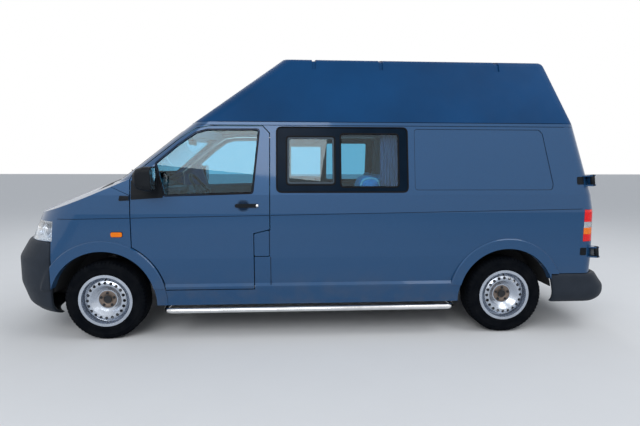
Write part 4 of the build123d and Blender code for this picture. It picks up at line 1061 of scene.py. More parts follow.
for label, side in sides.items():
    title = label.title()
    wing = sideCast(surfaceOf("wings"), side)
    door = sideCast(surfaceOf("door_" + label), side)
    box = trim["repeater"]
    base = patchOn(
        "repeaterBase" + title, boxLoop(box, 0.014, 0.006), wing, 0.001, 0.003, "sealRubber", 0.0008
    )
    lens = patchOn("repeaterLens" + title, boxLoop(box, 0.013), wing, 0.005, 0.006, "amber", 0.0025)
    loop = roundedLoop(trim["wingCorner"], 0.008)
    corner = patchOn("wingCorner" + title, loop, wing, 0.0025, 0.006, "grainBlack", 0.0012)
    rideAll("body", base, lens, corner)
    box = trim["cup"]
    # the ring round the handle cup and the darker patch in its hollow are painted shade
    outer, inner = boxLoop(box, 0.042), boxLoop(box, 0.039, -0.006)
    cup = ringOn("handleCup" + title, outer, inner, door, door, 0.0006, 0.0014, "cupShade")
    loop = boxLoop(box, 0.035, -0.014)
    hollow = patchOn("handleHollow" + title, loop, door, 0.0004, 0.001, "cupTone")
    grip = sideCast(surfaceOf("door_" + label + "_fittings"), side)(trim["lock"])
    place = Matrix.Translation(grip)
    lock = turnedPiece("doorLock" + title, trim["lockProfile"], place, "chrome", 28, side)
    y, z, width, height = trim["mirror"]
    loop = boxLoop((side * y, z, width, height), 0.03)
    points = [(trim["mirrorFace"], p.x, p.y) for p in loop]
    glass = meshPiece("mirrorGlass" + title, points, [tuple(range(len(loop)))])
    thicken(glass, 0.003, 0.0)
    fixNormals(glass)
    painted(bevel(glass, 0.0008, 2), "mirror")
    rideAll("front_door_" + label, cup, hollow, lock, glass)
    if side == left:
        loop = [Vector(p) for p in trim["joint"]]
        joint = patchOn(
            "pillarJoint", loop, sideCast(surfaceOf("side_left"), left), 0.0002, 0.0008, "sealRubber"
        )
        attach(joint, "body")
print("side trim made")

# Handles of the sliding door and of the rear doors
pulls = {
    "sliding": (-0.235, 1.128, 0.175, 0.03),
    "slidingCup": (-0.215, 1.128, 0.092, 0.094),
    "rear": (-0.115, 1.06, 0.15, 0.034),
    "proud": 0.03,
    "grip": 0.012,
}


def pullHandle(name, box, cast, finish):
    x, z, width, height = box
    loop = boxLoop(box, height / 2 - 0.002)
    parts = [patchOn(name, loop, cast, pulls["proud"], pulls["grip"], finish, 0.004)]
    lift, length = pulls["proud"] / 2 - 0.003, pulls["proud"] + 0.002
    for end in (-1, 1):
        loop = boxLoop((x + end * (width / 2 - 0.018), z, 0.03, height - 0.006), 0.01)
        parts.append(patchOn(name + "Foot", loop, cast, lift, length, finish, 0.003))
    return joinPieces(name, parts)


slide = sideCast(surfaceOf("sliding_door"), right)
# the dark patch in the sliding door's handle cup is painted shade
slidingCup = patchOn(
    "slidingHandleHollow", boxLoop(pulls["slidingCup"], 0.042), slide, 0.0004, 0.001, "cupShade"
)
slidingHandle = pullHandle("slidingHandle", pulls["sliding"], slide, "grainBlack")
rideAll("body", slidingCup, slidingHandle)
rearHandle = pullHandle(
    "rearDoorHandle", pulls["rear"], endCast(surfaceOf("rear_door_left"), 1), "grainBlack"
)
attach(rearHandle, "back_door_left")
print("pull handles made")

# Padded pieces: a rounded block, remeshed and blown up a little by a cloth simulation
padding = {"voxel": 0.012, "frames": 18, "pressure": 4.0, "cap": 0.016, "quality": 4}


def hexBlock(name, bottom, top, soft):
    # bottom and top: four corners each, in turn
    points = list(bottom) + list(top)
    faces = [(3, 2, 1, 0), (4, 5, 6, 7)] + [(n, (n + 1) % 4, (n + 1) % 4 + 4, n + 4) for n in range(4)]
    return bevel(meshPiece(name, points, faces), soft, 4)


def padded(piece, low, high, finish, channels=()):
    remesh = piece.modifiers.new("even mesh", "REMESH")
    remesh.mode = "VOXEL"
    remesh.voxel_size = padding["voxel"]
    plainMesh(piece)
    start = [vert.co.copy() for vert in piece.data.vertices]
    cloth = piece.modifiers.new("filling", "CLOTH")
    cloth.settings.quality = padding["quality"]
    cloth.settings.use_pressure = True
    cloth.settings.uniform_pressure_force = padding["pressure"]
    cloth.settings.effector_weights.gravity = 0
    for number in range(1, padding["frames"] + 1):
        bpy.context.scene.frame_set(number)
    plainMesh(piece)
    bpy.context.scene.frame_set(1)
    for vert, before in zip(piece.data.vertices, start):
        move = vert.co - before
        if move.length > padding["cap"]:
            vert.co = before + move * (padding["cap"] / move.length)
    subdivide(piece, 1)
    normals = [vert.normal.copy() for vert in piece.data.vertices]
    for axis, place, depth, width in channels:
        # sewn channels: a narrow valley at a place along one axis
        for vert, normal in zip(piece.data.vertices, normals):
            near = (vert.co[axis] - place) / width
            vert.co -= normal * depth * math.exp(-near * near)
    for vert in piece.data.vertices:
        for axis in range(3):
            vert.co[axis] = min(max(vert.co[axis], low[axis]), high[axis])
    piece.data.update()
    piece.data.shade_smooth()
    painted(piece, finish)
    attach(piece, "body")
    return piece


# Cab seats: cushion, leaning back, head restraint on two posts
# and a lever; each sewn channel is an axis, a place along it, a depth and a width
seat = {
    "y": 0.4,
    "half": 0.232,
    "cushion": [(-0.9, 0.768), (-0.43, 0.768), (-0.47, 0.872), (-0.908, 0.888)],
    "cushionX": (-0.925, -0.4),
    "cushionZ": (0.7615, 0.905),
    "back": [(-0.502, 0.885), (-0.408, 0.885), (-0.322, 1.474), (-0.398, 1.482)],
    "backX": (-0.53, -0.305),
    "backZ": (0.872, 1.497),
    "rest": [(-0.402, 1.512), (-0.33, 1.512), (-0.326, 1.668), (-0.39, 1.672)],
    "restX": (-0.42, -0.312),
    "restZ": (1.497, 1.684),
    "restHalf": 0.112,
    "postX": -0.365,
    "postRadius": 0.006,
    "leverLow": (-0.52, -0.249, 0.79),
    "leverHigh": (-0.44, -0.236, 0.815),
}


def seatPad(part, title, y, half, soft, margin, channels):
    # a pad between two copies of its outline, kept inside a box round it
    front, back = [[(x, y + way * half, z) for x, z in seat[part]] for way in (-1, 1)]
    (lowX, highX), (lowZ, highZ) = seat[part + "X"], seat[part + "Z"]
    low, high = (lowX, y - half - margin, lowZ), (highX, y + half + margin, highZ)
    name = {"cushion": "seatCushion", "back": "seatBack", "rest": "headRest"}[part] + title
    piece = padded(hexBlock(name, front, back, soft), low, high, "cloth", channels)
    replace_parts(piece, "cushions")


for label, side in sides.items():
    title = label.title()
    y = side * seat["y"]
    ridges = [(1, y - 0.115, 0.008, 0.011), (1, y + 0.115, 0.008, 0.011)]
    seatPad("cushion", title, y, seat["half"], 0.03, 0.004, ridges + [(0, -0.74, 0.006, 0.011)])
    seams = [(2, 1.1, 0.006, 0.011), (2, 1.28, 0.006, 0.011)]
    seatPad("back", title, y, seat["half"], 0.03, 0.004, ridges + seams)
    seatPad("rest", title, y, seat["restHalf"], 0.026, 0.012, ())
    posts = []
    for offset in (-0.05, 0.05):
        route = [(seat["postX"] - 0.004, y + offset, 1.45), (seat["postX"] + 0.002, y + offset, 1.56)]
        posts.append(tubePiece("post", route, seat["postRadius"], "disc"))
    posts = joinPieces("headRestPosts" + title, posts)
    shift = Vector((0, y, 0))
    low, high = Vector(seat["leverLow"]) + shift, Vector(seat["leverHigh"]) + shift
    lever = painted(boxPiece("seatLever" + title, low, high, 0.006), "cabPlastic")
    rideAll("body", posts, lever)
print("cab seats made")

# Bench bed: seat and back cushions, and a pillow with a pale edge
bench = {
    "seat": ((0.138, -0.802, 0.884), (0.592, 0.542, 0.992)),
    "back": ((0.609, -0.8, 0.885), (0.682, 0.54, 1.392)),
    "pillow": ((0.372, -0.79, 1.005), (0.585, -0.43, 1.368)),
    "tufts": [(1, -0.35, 0.009, 0.012), (1, 0.09, 0.009, 0.012)],
    "edge": 0.009,
}


def blockPad(name, part, soft, channels=(), margin=0.004, shrink=0.006):
    low, high = bench[part]
    (a, b, c), (d, e, f) = [v + shrink for v in low], [v - shrink for v in high]
    bottom = [(a, b, c), (d, b, c), (d, e, c), (a, e, c)]
    top = [(a, b, f), (d, b, f), (d, e, f), (a, e, f)]
    block = hexBlock(name, bottom, top, soft)
    low, high = [v - margin for v in low], [v + margin for v in high]
    return padded(block, low, high, "blueCloth", channels)


for name, part, soft in (("benchSeat", "seat", 0.03), ("benchBack", "back", 0.022)):
    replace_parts(blockPad(name, part, soft, bench["tufts"]), "cushions")
low, high = bench["pillow"]
pillow = blockPad("benchPillow", "pillow", 0.07, margin=0.012)
pillowTree = BVHTree.FromPolygons(
    [v.co for v in pillow.data.vertices], [p.vertices for p in pillow.data.polygons]
)
box = ((low[0] + high[0]) / 2, (low[2] + high[2]) / 2, high[0] - low[0] - 0.05, high[2] - low[2] - 0.05)
route = [sideCast(pillowTree, left)(p, 0.003) for p in boxLoop(box, 0.075)]
edging = tubePiece("pillowEdge", route, bench["edge"], "paleCloth", 3, closed=True)
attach(edging, "body")

# Curtain: one sheet, gathered on a rail at its top and one at its foot
curtain = {
    "from": 0.555,
    "to": 0.705,
    "low": 1.272,
    "high": 1.765,
    "lowY": -0.836,
    "highY": -0.762,
    "pleats": 6,
    "depth": 0.011,
    "thickness": 0.0012,
    "railRadius": 0.004,
    "columns": 96,
    "rows": 26,
}


def curtainSheet():
    points, faces = [], []
    columns, rows = curtain["columns"], curtain["rows"]
    cut = 0.0
    for row in range(rows + 1):
        t = row / rows
        z = curtain["low"] + (curtain["high"] - curtain["low"]) * t
        y = curtain["lowY"] + (curtain["highY"] - curtain["lowY"]) * t
        deep = curtain["depth"] * (1 - 0.35 * t)
        length, before = 0.0, None
        for column in range(columns + 1):
            s = column / columns
            phase = 2 * math.pi * curtain["pleats"] * (s + 0.012 * math.sin(5 * t + 9 * s))
            point = Vector(
                (curtain["from"] + (curtain["to"] - curtain["from"]) * s, y + deep * math.sin(phase), z)
            )
            length += (point - before).length if before else 0
            before = point
            points.append(point)
        cut += length / (rows + 1)
    for row in range(rows):
        for column in range(columns):
            first = row * (columns + 1) + column
            faces.append((first, first + 1, first + columns + 2, first + columns + 1))
    sheet = meshPiece("curtain", points, faces)
    thicken(sheet, curtain["thickness"], 0.0)
    fixNormals(sheet)
    tall = math.hypot(curtain["high"] - curtain["low"], curtain["highY"] - curtain["lowY"])
    return painted(sheet, "curtain"), cut, tall


sheet, cutWidth, cutHeight = curtainSheet()
rails = []
for z, y in ((curtain["low"] - 0.002, curtain["lowY"]), (curtain["high"] + 0.002, curtain["highY"])):
    route = [(curtain["from"] - 0.02, y, z), (curtain["to"] + 0.01, y, z)]
    rails.append(tubePiece("rail", route, curtain["railRadius"], "disc"))
rails = joinPieces("curtainRails", rails)
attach(sheet, "body")
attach(rails, "body")
print("bench and curtain made")


# Pressed lines: a dark strip along the foot of each groove in the panels; on the crease, the gutter and the
# recess edge it is painted shade
def stripOn(name, route, cast, finish, body):
    count, half = len(route), lines["width"] / 2
    points = [cast((x, z + way * half), lines["lift"]) for way in (-1, 1) for x, z in route]
    faces = [(n, n + 1, count + n + 1, count + n) for n in range(count - 1)]
    strip = meshPiece(name, points, faces)
    thicken(strip, lines["thickness"], 0.0)
    fixNormals(strip)
    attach(painted(strip, finish), body)


lines = {
    "creaseStart": (-2.1, 1.0205),
    "creaseEnd": (2.285, 1.0895),
    "gutterHeight": 1.7885,
    "gutterEnds": (-0.975, 2.25),
    "roofFoot": 1.8175,
    "roofEnds": (-1.0, 2.24),
    "width": 0.0034,
    "lift": 0.0006,
    "thickness": 0.0008,
    "recess": [(0.832, 1.252), (0.832, 1.764), (1.922, 1.764), (1.952, 1.73), (2.032, 1.3), (2.022, 1.252)],
}


def creaseRoute(fromX, toX, count=24):
    (x0, z0), (x1, z1) = lines["creaseStart"], lines["creaseEnd"]
    places = [fromX + (toX - fromX) * n / count for n in range(count + 1)]
    return [(x, z0 + (z1 - z0) * (x - x0) / (x1 - x0)) for x in places]


def levelRoute(ends, height, count=30):
    return [(ends[0] + (ends[1] - ends[0]) * n / count, height) for n in range(count + 1)]


for label, side in sides.items():
    title = label.title()
    panels = [("wings", -2.09, -1.515, "body"), ("door_" + label, -1.5, -0.39, "front_door_" + label)]
    if side == left:
        panels += [("side_left", -0.374, 2.28, "body")]
    else:
        panels += [("sliding_door", -0.362, 0.808, "body"), ("side_right", 0.818, 2.28, "body")]
    for number, (node, fromX, toX, body) in enumerate(panels):
        cast = sideCast(surfaceOf(node), side)
        # the dark strip in the crease's groove is painted shade
        stripOn("creaseLine" + title + str(number), creaseRoute(fromX, toX), cast, "cupShade", body)
    wall = sideCast(surfaceOf("side_" + label), side)
    # the dark strip in the gutter is painted shade
    route = levelRoute(lines["gutterEnds"], lines["gutterHeight"])
    stripOn("gutterLine" + title, route, wall, "cupShade", "body")
    route = levelRoute(lines["roofEnds"], lines["roofFoot"])
    stripOn("roofFootLine" + title, route, sideCast(surfaceOf("high_roof"), side), "sealRubber", "body")
    # the dark ring just inside the recessed panel's edge is painted shade
    reach = (-0.0005, 0.0035)
    sealRing(
        "recessLine" + title, lines["recess"], 0.03, reach, (wall, wall), "cupShade", "body", 0.0008, 0.0005
    )
print("pressed lines made")

# Bumpers: the CAD form with the soft edges of moulded plastic
bumper = {"voxel": 0.008, "smoothing": 0.5, "frontRounds": 32, "rearRounds": 44}


def softBumper(name, node, rounds):
    piece = placed(name, nodes[node].data.copy())
    fixNormals(piece, 2e-5)
    even = piece.modifiers.new("even mesh", "REMESH")
    even.mode = "VOXEL"
    even.voxel_size = bumper["voxel"]
    plainMesh(piece)
    soft = piece.modifiers.new("soft edges", "SMOOTH")
    soft.factor = bumper["smoothing"]
    soft.iterations = rounds
    plainMesh(piece)
    piece.data.shade_smooth()
    painted(piece, "bumperGrey")
    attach(piece, "body")
    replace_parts(piece, node)
    print(name, len(piece.data.polygons), "faces")


softBumper("frontBumper", "front_bumper", bumper["frontRounds"])
softBumper("rearBumper", "rear_bumper", bumper["rearRounds"])

# Nose: radiator behind the grille, bars in the bumper's openings
nose = {
    "radiatorLow": (-2.372, -0.4, 0.57),
    "radiatorHigh": (-2.35, 0.4, 0.965),
    "fins": 32,
    "slots": [(y, z) for y in (-0.32, 0, 0.32) for z in (0.37, 0.43)],
    "slotHalf": 0.145,
    "bars": 23,
    "barHalf": (0.0018, 0.0018, 0.023),
    "barDeep": 0.024,
}
low, high = nose["radiatorLow"], nose["radiatorHigh"]
core = painted(boxPiece("radiatorCore", low, high, 0.004), "chassis")
finStep = (high[2] - low[2]) / (nose["fins"] + 1)
fin = meshPiece(
    "fin",
    [(x, y, z) for x in (-0.006, 0.006) for y in (low[1] + 0.02, high[1] - 0.02) for z in (-0.001, 0.001)],
    [(0, 1, 3, 2), (4, 6, 7, 5), (0, 4, 5, 1), (2, 3, 7, 6), (0, 2, 6, 4), (1, 5, 7, 3)], smooth=False
)
finPlace = (low[0] - 0.004, 0, low[2] + finStep)
fins = repeated("radiatorFins", fin, nose["fins"], "disc", step=(0, 0, finStep), shift=finPlace)
rideAll("body", core, fins)
bumperCast = endCast(surfaceOf("front_bumper"), -1)
barHalf = Vector(nose["barHalf"])
nets = []
for y, z in nose["slots"]:
    shift = Vector((nose["barDeep"], 0, z - 0.4))
    start, end = [bumperCast((y + way * nose["slotHalf"], 0.4)) + shift for way in (-1, 1)]
    step = (end - start) / nose["bars"]
    bar = boxPiece("bar", -barHalf, barHalf, 0.0006, 1)
    nets.append(repeated("net", bar, nose["bars"], "grainBlack", step=step, shift=start + step / 2))
nets = joinPieces("bumperNets", nets)
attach(nets, "body")
print("nose details made")

# Windscreen wipers: pivot y, blade from y and blade to y of each
wiper = {
    "pivotX": -1.772,
    "sweeps": [(0.6, 0.53, -0.06), (0.0, -0.08, -0.68)],
    "low": 1.376,
    "rise": 0.03,
    "steps": 16,
    "holderRadius": 0.0038,
    "rubberRadius": 0.003,
    "armRadius": 0.0052,
    "cap": [(0.0, 0.022), (0.009, 0.021), (0.013, 0.016), (0.014, -0.006)],
}
cowlCast = topCast(surfaceOf("bulkhead"))
upTurn = Matrix.Rotation(math.pi / 2, 4, "X")
for number, (pivotY, fromY, toY) in enumerate(wiper["sweeps"]):
    steps = wiper["steps"]
    places = [
        (fromY + (toY - fromY) * n / steps, wiper["low"] + wiper["rise"] * n / steps)
        for n in range(steps + 1)
    ]
    holder = tubePiece("holder", [glassEnd(p, 0.013) for p in places], wiper["holderRadius"], "grainBlack")
    rubber = tubePiece("rubber", [glassEnd(p, 0.006) for p in places], wiper["rubberRadius"], "sealRubber")
    pivot = cowlCast((wiper["pivotX"], pivotY), 0.004)
    middle = glassEnd(places[steps // 2], 0.021)
    route = [pivot + Vector((0, 0, 0.012)), pivot.lerp(middle, 0.3) + Vector((-0.006, 0, 0.014)), middle]
    arm = tubePiece("arm", route, wiper["armRadius"], "grainBlack")
    cap = turnedPiece("cap", wiper["cap"], Matrix.Translation(pivot) @ upTurn, "grainBlack", 28)
    whole = joinPieces("wiper" + str(number), [holder, rubber, arm, cap])
    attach(whole, "body")
print("wipers made")

# Cab: steering wheel, hood, middle console, vents, mirror inside
cab = {
    "wheelCentre": Vector((-1.04, -0.38, 1.222)),
    "wheelAxis": Vector((0.82, 0, 0.57)).normalized(),
    "wheelRadius": 0.176,
    "rimRadius": 0.0135,
    "spokes": (-0.06, math.pi + 0.06, -math.pi / 2 - 0.34, -math.pi / 2 + 0.34),
    "spokeRadius": 0.011,
    "boss": [
        (0.0, 0.012), (0.03, 0.011), (0.052, 0.006), (0.066, -0.004), (0.07, -0.018), (0.05, -0.034),
        (0.024, -0.04), (0.024, -0.2)
    ],
    "hood": ((-1.36, -0.57, 1.19), (-1.2, -0.19, 1.262)),
    "console": ((-1.24, -0.12, 0.86), (-1.15, 0.12, 1.19)),
    "radio": ((-1.152, -0.09, 1.09), (-1.147, 0.09, 1.145)),
    "knobs": [(-1.149, -0.06, 1.03), (-1.149, 0, 1.03), (-1.149, 0.06, 1.03)],
    "knob": [(0.0, 0.014), (0.015, 0.013), (0.018, 0.009), (0.02, -0.004)],
    "vents": [-0.74, -0.09, 0.09, 0.74],
    "ventX": (-1.222, -1.178),
    "ventZ": (1.122, 1.176),
    "ventHalf": 0.062,
    "slats": 5,
    "slatStep": 0.0085,
    "slatHalf": (0.003, 0.052, 0.0015),
    "lever": [(-1.16, 0.035, 0.95), (-1.1, 0.035, 1.0), (-1.085, 0.035, 1.02)],
    "leverKnob": [(0.0, 0.026), (0.012, 0.024), (0.02, 0.012), (0.019, -0.006), (0.01, -0.02)],
    "leverTop": (-1.082, 0.035, 1.03),
    "mirror": ((-1.215, -0.12, 1.655), (-1.185, 0.12, 1.715)),
    "stalk": [(-1.2, 0, 1.7), (-1.205, 0, 1.735), (-1.2, 0, 1.748)],
    "rod": 0.006,
}
axis = cab["wheelAxis"]
over = Vector((-axis.z, 0, axis.x))
sidewards = Vector((0, 1, 0))


def onWheel(radius, angle, lift=0.0):
    return cab["wheelCentre"] + (
        sidewards * math.cos(angle) + over * math.sin(angle)
    ) * radius + axis * lift


route = [onWheel(cab["wheelRadius"], 2 * math.pi * n / 96) for n in range(96)]
rim = tubePiece("rim", route, cab["rimRadius"], "grip", 5, closed=True)
spokes = []
for angle in cab["spokes"]:
    route = [
        onWheel(0.035, angle, -0.006), onWheel(0.1, angle, -0.014),
        onWheel(cab["wheelRadius"], angle, -0.003)
    ]
    spokes.append(tubePiece("spoke", route, cab["spokeRadius"], "cabPlastic"))
place = Matrix.Translation(cab["wheelCentre"]) @ Matrix((sidewards, axis, over)).transposed().to_4x4()
boss = turnedPiece("boss", cab["boss"], place, "cabPlastic", 40)
wheel = joinPieces("steeringWheel", [rim, boss] + spokes)
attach(wheel, "body")
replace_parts(wheel, "steering_wheel")
hood = painted(boxPiece("instrumentHood", *cab["hood"], 0.032, 5), "cabPlastic")
console = painted(boxPiece("middleConsole", *cab["console"], 0.018, 4), "cabPlastic")
screen = painted(boxPiece("radioFace", *cab["radio"], 0.002), "frameBlack")
knobs = []
for place in cab["knobs"]:
    place = Matrix.Translation(place) @ Matrix.Rotation(-math.pi / 2, 4, "Z")
    knobs.append(turnedPiece("knob", cab["knob"], place, "grainBlack", 24))
knobs = joinPieces("consoleKnobs", knobs)
vents = []
slatHalf = Vector(cab["slatHalf"])
for y in cab["vents"]:
    low, high = [(cab["ventX"][n], y + (2 * n - 1) * cab["ventHalf"], cab["ventZ"][n]) for n in (0, 1)]
    vents.append(painted(boxPiece("vent", low, high, 0.008), "grainBlack"))
    slat = boxPiece("slat", -slatHalf, slatHalf, 0.0006, 1)
    place = (high[0] + 0.001, y, low[2] + 0.01)
    step = (0, 0, cab["slatStep"])
    vents.append(repeated("slats", slat, cab["slats"], "cabPlastic", step=step, shift=place))
vents = joinPieces("dashVents", vents)
lever = tubePiece("lever", cab["lever"], cab["rod"], "disc")
place = Matrix.Translation(cab["leverTop"]) @ upTurn
lever = joinPieces("gearLever", [lever, turnedPiece("leverKnob", cab["leverKnob"], place, "grip", 24)])
inside = painted(boxPiece("insideMirror", *cab["mirror"], 0.012), "grainBlack")
stalk = tubePiece("insideMirrorStalk", cab["stalk"], cab["rod"], "grainBlack")
rideAll("body", hood, console, screen, knobs, vents, lever, inside, stalk)
print("cab made")


# Linings: cloth on the walls and roof, door cards, a vinyl floor
def insideFaces(node, least, eye):
    # the faces of a node that look at the eye, with nothing of the node between
    tree = surfaceOf(node)

    def keep(centre, normal):
        start = eye(centre)
        way = centre - start
        if normal.dot(way) > -least * way.length:
            return False
        hit, _, _, _ = tree.ray_cast(start, way.normalized())
        return hit is not None and (hit - centre).length < 0.01

    return keep


def fromAisle(centre):
    return Vector((centre.x, 0, centre.z))


def underRoof(centre):
    return Vector((min(max(centre.x, -0.5), 1.9), 0, 1.85))


def overFloor(centre):
    return Vector((centre.x, centre.y, 1.4))


def beforeDoors(centre):
    return Vector((1.9, centre.y, centre.z))


def wallPart(centre):
    return centre.x > -0.34 and 0.57 < centre.z < 1.76


# name, node, place that the faces look at, part that is lined, lift, finish, body
linings = [
    ("wallLiningLeft", "side_left", fromAisle, wallPart, 0.004, "lining", "body"),
    ("wallLiningRight", "side_right", fromAisle, wallPart, 0.004, "lining", "body"),
    ("slidingDoorLining", "sliding_door", fromAisle, lambda c: c.z > 0.5, 0.004, "lining", "body"),
    ("roofLining", "high_roof", underRoof, lambda c: True, 0.004, "lining", "body"),
    ("floorCovering", "floor_pan", overFloor, lambda c: c.z > 0.545, 0.004, "vinyl", "body")
]
for label in sides:
    title = label.title()
    name, body = "doorCard" + title, "front_door_" + label
    linings.append((name, "door_" + label, fromAisle, lambda c: c.z < 1.21, 0.007, "cabPlastic", body))
    name, body = "rearDoorCard" + title, "back_door_" + label
    linings.append(
        (name, "rear_door_" + label, beforeDoors, lambda c: c.z < 1.28, 0.005, "cardCloth", body)
    )
for name, node, eye, part, lift, finish, body in linings:
    inside = insideFaces(node, 0.35, eye)
    piece = skinOf(name, node, lambda c, n: part(c) and inside(c, n), lift, lift - 0.0015)
    painted(piece, finish)
    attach(piece, body)
print("linings made")

# Underside: front springs, drive shafts, gearbox, tank straps, brake lines and floor ribs
under = {
    "springRadius": 0.05,
    "springWire": 0.0065,
    "springLow": 0.52,
    "springHigh": 0.73,
    "turns": 5,
    "turnSteps": 20,
    "legY": 0.668,
    "shaft": [
        (0.0, 0.43), (0.02, 0.43), (0.045, 0.445), (0.04, 0.455), (0.046, 0.465), (0.036, 0.475),
        (0.04, 0.484), (0.026, 0.5), (0.0135, 0.506), (0.0135, 0.567), (0.022, 0.573), (0.034, 0.583),
        (0.03, 0.59), (0.037, 0.597), (0.033, 0.604), (0.037, 0.612), (0.034, 0.62), (0.0, 0.621)
    ],
    "gearbox": [
        (0.0, 0.44), (0.05, 0.44), (0.06, 0.4), (0.11, 0.33), (0.13, 0.2), (0.125, -0.1), (0.1, -0.2),
        (0.06, -0.4), (0.05, -0.44), (0.0, -0.44)
    ],
    "gearboxHeight": 0.46,
    "strapPlaces": (-0.6, 0.0),
    "strapWidth": 0.035,
    "strapOuter": [
        (-0.416, 0.498), (-0.416, 0.318), (-0.404, 0.3015), (0.054, 0.3015), (0.066, 0.318), (0.066, 0.498)
    ],
    "strapInner": [
        (-0.4125, 0.498), (-0.4125, 0.3195), (-0.4025, 0.3045), (0.0525, 0.3045), (0.0625, 0.3195),
        (0.0625, 0.498)
    ],
    "pipes": (0.385, 0.398),
    "pipeRadius": 0.0035,
    "ribs": 6,
    "ribStep": 0.17,
    "rib": ((-0.02, -0.37, -0.006), (0.02, 0.16, 0.002)),
    "ribPlace": (0.3, 0, 0.4995),
}
for label, side in sides.items():
    title = label.title()
    centre = wheelCentre["front_" + label]
    count = under["turns"] * under["turnSteps"]
    route = []
    for n in range(count + 1):
        angle = 2 * math.pi * n / under["turnSteps"]
        x = centre.x + under["springRadius"] * math.cos(angle)
        y = side * under["legY"] + under["springRadius"] * math.sin(angle)
        route.append((x, y, under["springLow"] + (under["springHigh"] - under["springLow"]) * n / count))
    spring = tubePiece("frontSpring" + title, route, under["springWire"], "chassis", 2)
    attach(spring, "steer_" + label)
    shaft = lathePiece("driveShaft" + title, under["shaft"], (centre.x, 0, centre.z), 32, side)
    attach(painted(shaft, "sealRubber"), "body")
place = (wheelCentre["front_left"].x - 0.03, 0, under["gearboxHeight"])
gearbox = painted(lathePiece("gearbox", under["gearbox"], place, 40, right), "castIron")
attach(gearbox, "body")
straps = []
for x in under["strapPlaces"]:
    loop = under["strapOuter"] + under["strapInner"][::-1]
    points = [(x + dx, y, z) for dx in (0, under["strapWidth"]) for y, z in loop]
    count = len(loop)
    faces = [(n, (n + 1) % count, count + (n + 1) % count, count + n) for n in range(count)]
    faces += [(n, count - 1 - n, count - 2 - n, n + 1) for n in range(count // 2 - 1)]
    faces += [
        (count + n, count + n + 1, 2 * count - 2 - n, 2 * count - 1 - n) for n in range(count // 2 - 1)
    ]
    straps.append(painted(meshPiece("strap", points, faces, smooth=False), "chassis"))
straps = joinPieces("tankStraps", straps)
pipes = []
for y in under["pipes"]:
    route = [
        (-1.5, y, 0.488), (-0.9, y, 0.491), (0.6, y, 0.491), (1.2, y - 0.01, 0.488), (1.3, y - 0.02, 0.44)
    ]
    pipes.append(tubePiece("pipe", route, under["pipeRadius"], "disc"))
pipes = joinPieces("brakeLines", pipes)
rib = boxPiece("rib", *under["rib"], 0.004, 2)
step = (under["ribStep"], 0, 0)
ribs = repeated("floorRibs", rib, under["ribs"], "underseal", step=step, shift=under["ribPlace"])
rideAll("body", straps, pipes, ribs)
print("underside made")

# Rear door hinges: a barrel round each pin and a black plate on the corner of the body
# pins: the place of each, and the plate beside it as x, z, width and height
hinges = {
    "pins": [
        ((2.42, 0.962, 0.72), (2.316, 0.72, 0.056, 0.066)),
        ((2.362, 0.934, 1.335), (2.272, 1.331, 0.062, 0.066))
    ],
    "barrel": [
        (0.0, 0.0495), (0.012, 0.0495), (0.018, 0.0465), (0.018, -0.0465), (0.012, -0.0495), (0.0, -0.0495)
    ],
}
for label, side in sides.items():
    low, high = [Vector((x, side * y, z)) for (x, y, z), plate in hinges["pins"]]
    pinTurn = (high - low).to_track_quat("Y", "Z").to_matrix().to_4x4()
    wall = sideCast(surfaceOf("side_" + label), side)
    for number, (pin, box) in enumerate(hinges["pins"]):
        name = label.title() + str(number)
        place = Matrix.Translation((pin[0], side * pin[1], pin[2])) @ pinTurn
        barrel = turnedPiece("hingeBarrel" + name, hinges["barrel"], place, "grainBlack")
        plate = patchOn(
            "hingePlate" + name, boxLoop(box, 0.012), wall, 0.0008, 0.0016, "grainBlack", 0.0005, 3
        )
        rideAll("body", barrel, plate)
print("hinge covers made")

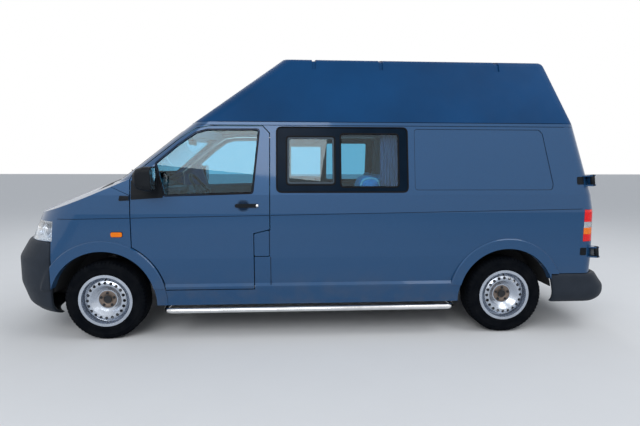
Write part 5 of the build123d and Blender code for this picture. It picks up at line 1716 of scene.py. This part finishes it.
# Engine bay: cover with ribs and bolts, air box, caps and hoses on top of the block
# caps: x, y and radius; hoses: radius, then points with z above the block
engine = {
    "sink": 0.004,
    "cover": ((-2.25, -0.3), (-1.95, 0.2)),
    "coverTall": 0.034,
    "ribs": 10,
    "ribStep": 0.046,
    "ribHalf": (0.008, 0.004),
    "screw": [(0.0, 0.012), (0.006, 0.012), (0.009, 0.009), (0.009, 0.002), (0.013, 0.0)],
    "screws": 6,
    "screwStep": 0.096,
    "airBox": ((-2.28, 0.245), (-2.0, 0.38)),
    "boxTall": 0.058,
    "caps": [(-2.285, -0.2, 0.026), (-1.91, 0.3, 0.024), (-1.91, -0.34, 0.03)],
    "hoses": [
        (0.019, [(-2.06, 0.3, 0.03), (-1.97, 0.29, 0.034), (-1.93, 0.22, 0.03), (-1.965, 0.14, 0.022)]),
        (
            0.015,
            [(-2.2, -0.37, -0.004), (-2.22, -0.37, 0.024), (-2.3, -0.365, 0.026), (-2.354, -0.35, -0.01)]
        )
    ],
}
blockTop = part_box("engine_block")[1].z
foot = blockTop - engine["sink"]
(x0, y0), (x1, y1) = engine["cover"]
coverTop = blockTop + engine["coverTall"]
cover = painted(boxPiece("engineCover", (x0, y0, foot), (x1, y1, coverTop), 0.013, 4), "grainBlack")
halfY, halfZ = engine["ribHalf"]
rib = boxPiece("rib", (x0 + 0.035, -halfY, -halfZ), (x1 - 0.035, halfY, halfZ), 0.003, 2)
step = (0, engine["ribStep"], 0)
place = (0, y0 + 0.043, coverTop)
coverRibs = repeated("engineCoverRibs", rib, engine["ribs"], "grainBlack", step=step, shift=place)
screws = []
for x in (x0 - 0.022, x1 + 0.02):
    screw = turnedPiece("screw", engine["screw"], upTurn, "disc", 12)
    step, place = (0, engine["screwStep"], 0), (x, y0 + 0.01, blockTop)
    screws.append(repeated("screws", screw, engine["screws"], "disc", step=step, shift=place))
screws = joinPieces("engineScrews", screws)
(x0, y0), (x1, y1) = engine["airBox"]
airBox = painted(
    boxPiece("airBox", (x0, y0, foot), (x1, y1, blockTop + engine["boxTall"]), 0.016, 4), "grainBlack"
)
caps = []
for x, y, radius in engine["caps"]:
    neck = radius * 0.8
    profile = [(0.0, 0.026), (neck, 0.025), (radius, 0.021), (radius, 0.008), (neck, 0.006), (neck, -0.004)]
    place = Matrix.Translation((x, y, blockTop)) @ upTurn
    caps.append(turnedPiece("cap", profile, place, "sealRubber"))
caps = joinPieces("engineCaps", caps)
hoses = []
for radius, route in engine["hoses"]:
    route = [(x, y, blockTop + z) for x, y, z in route]
    hoses.append(tubePiece("hose", route, radius, "sealRubber"))
hoses = joinPieces("engineHoses", hoses)
rideAll("body", cover, coverRibs, screws, airBox, caps, hoses)
print("engine bay made")
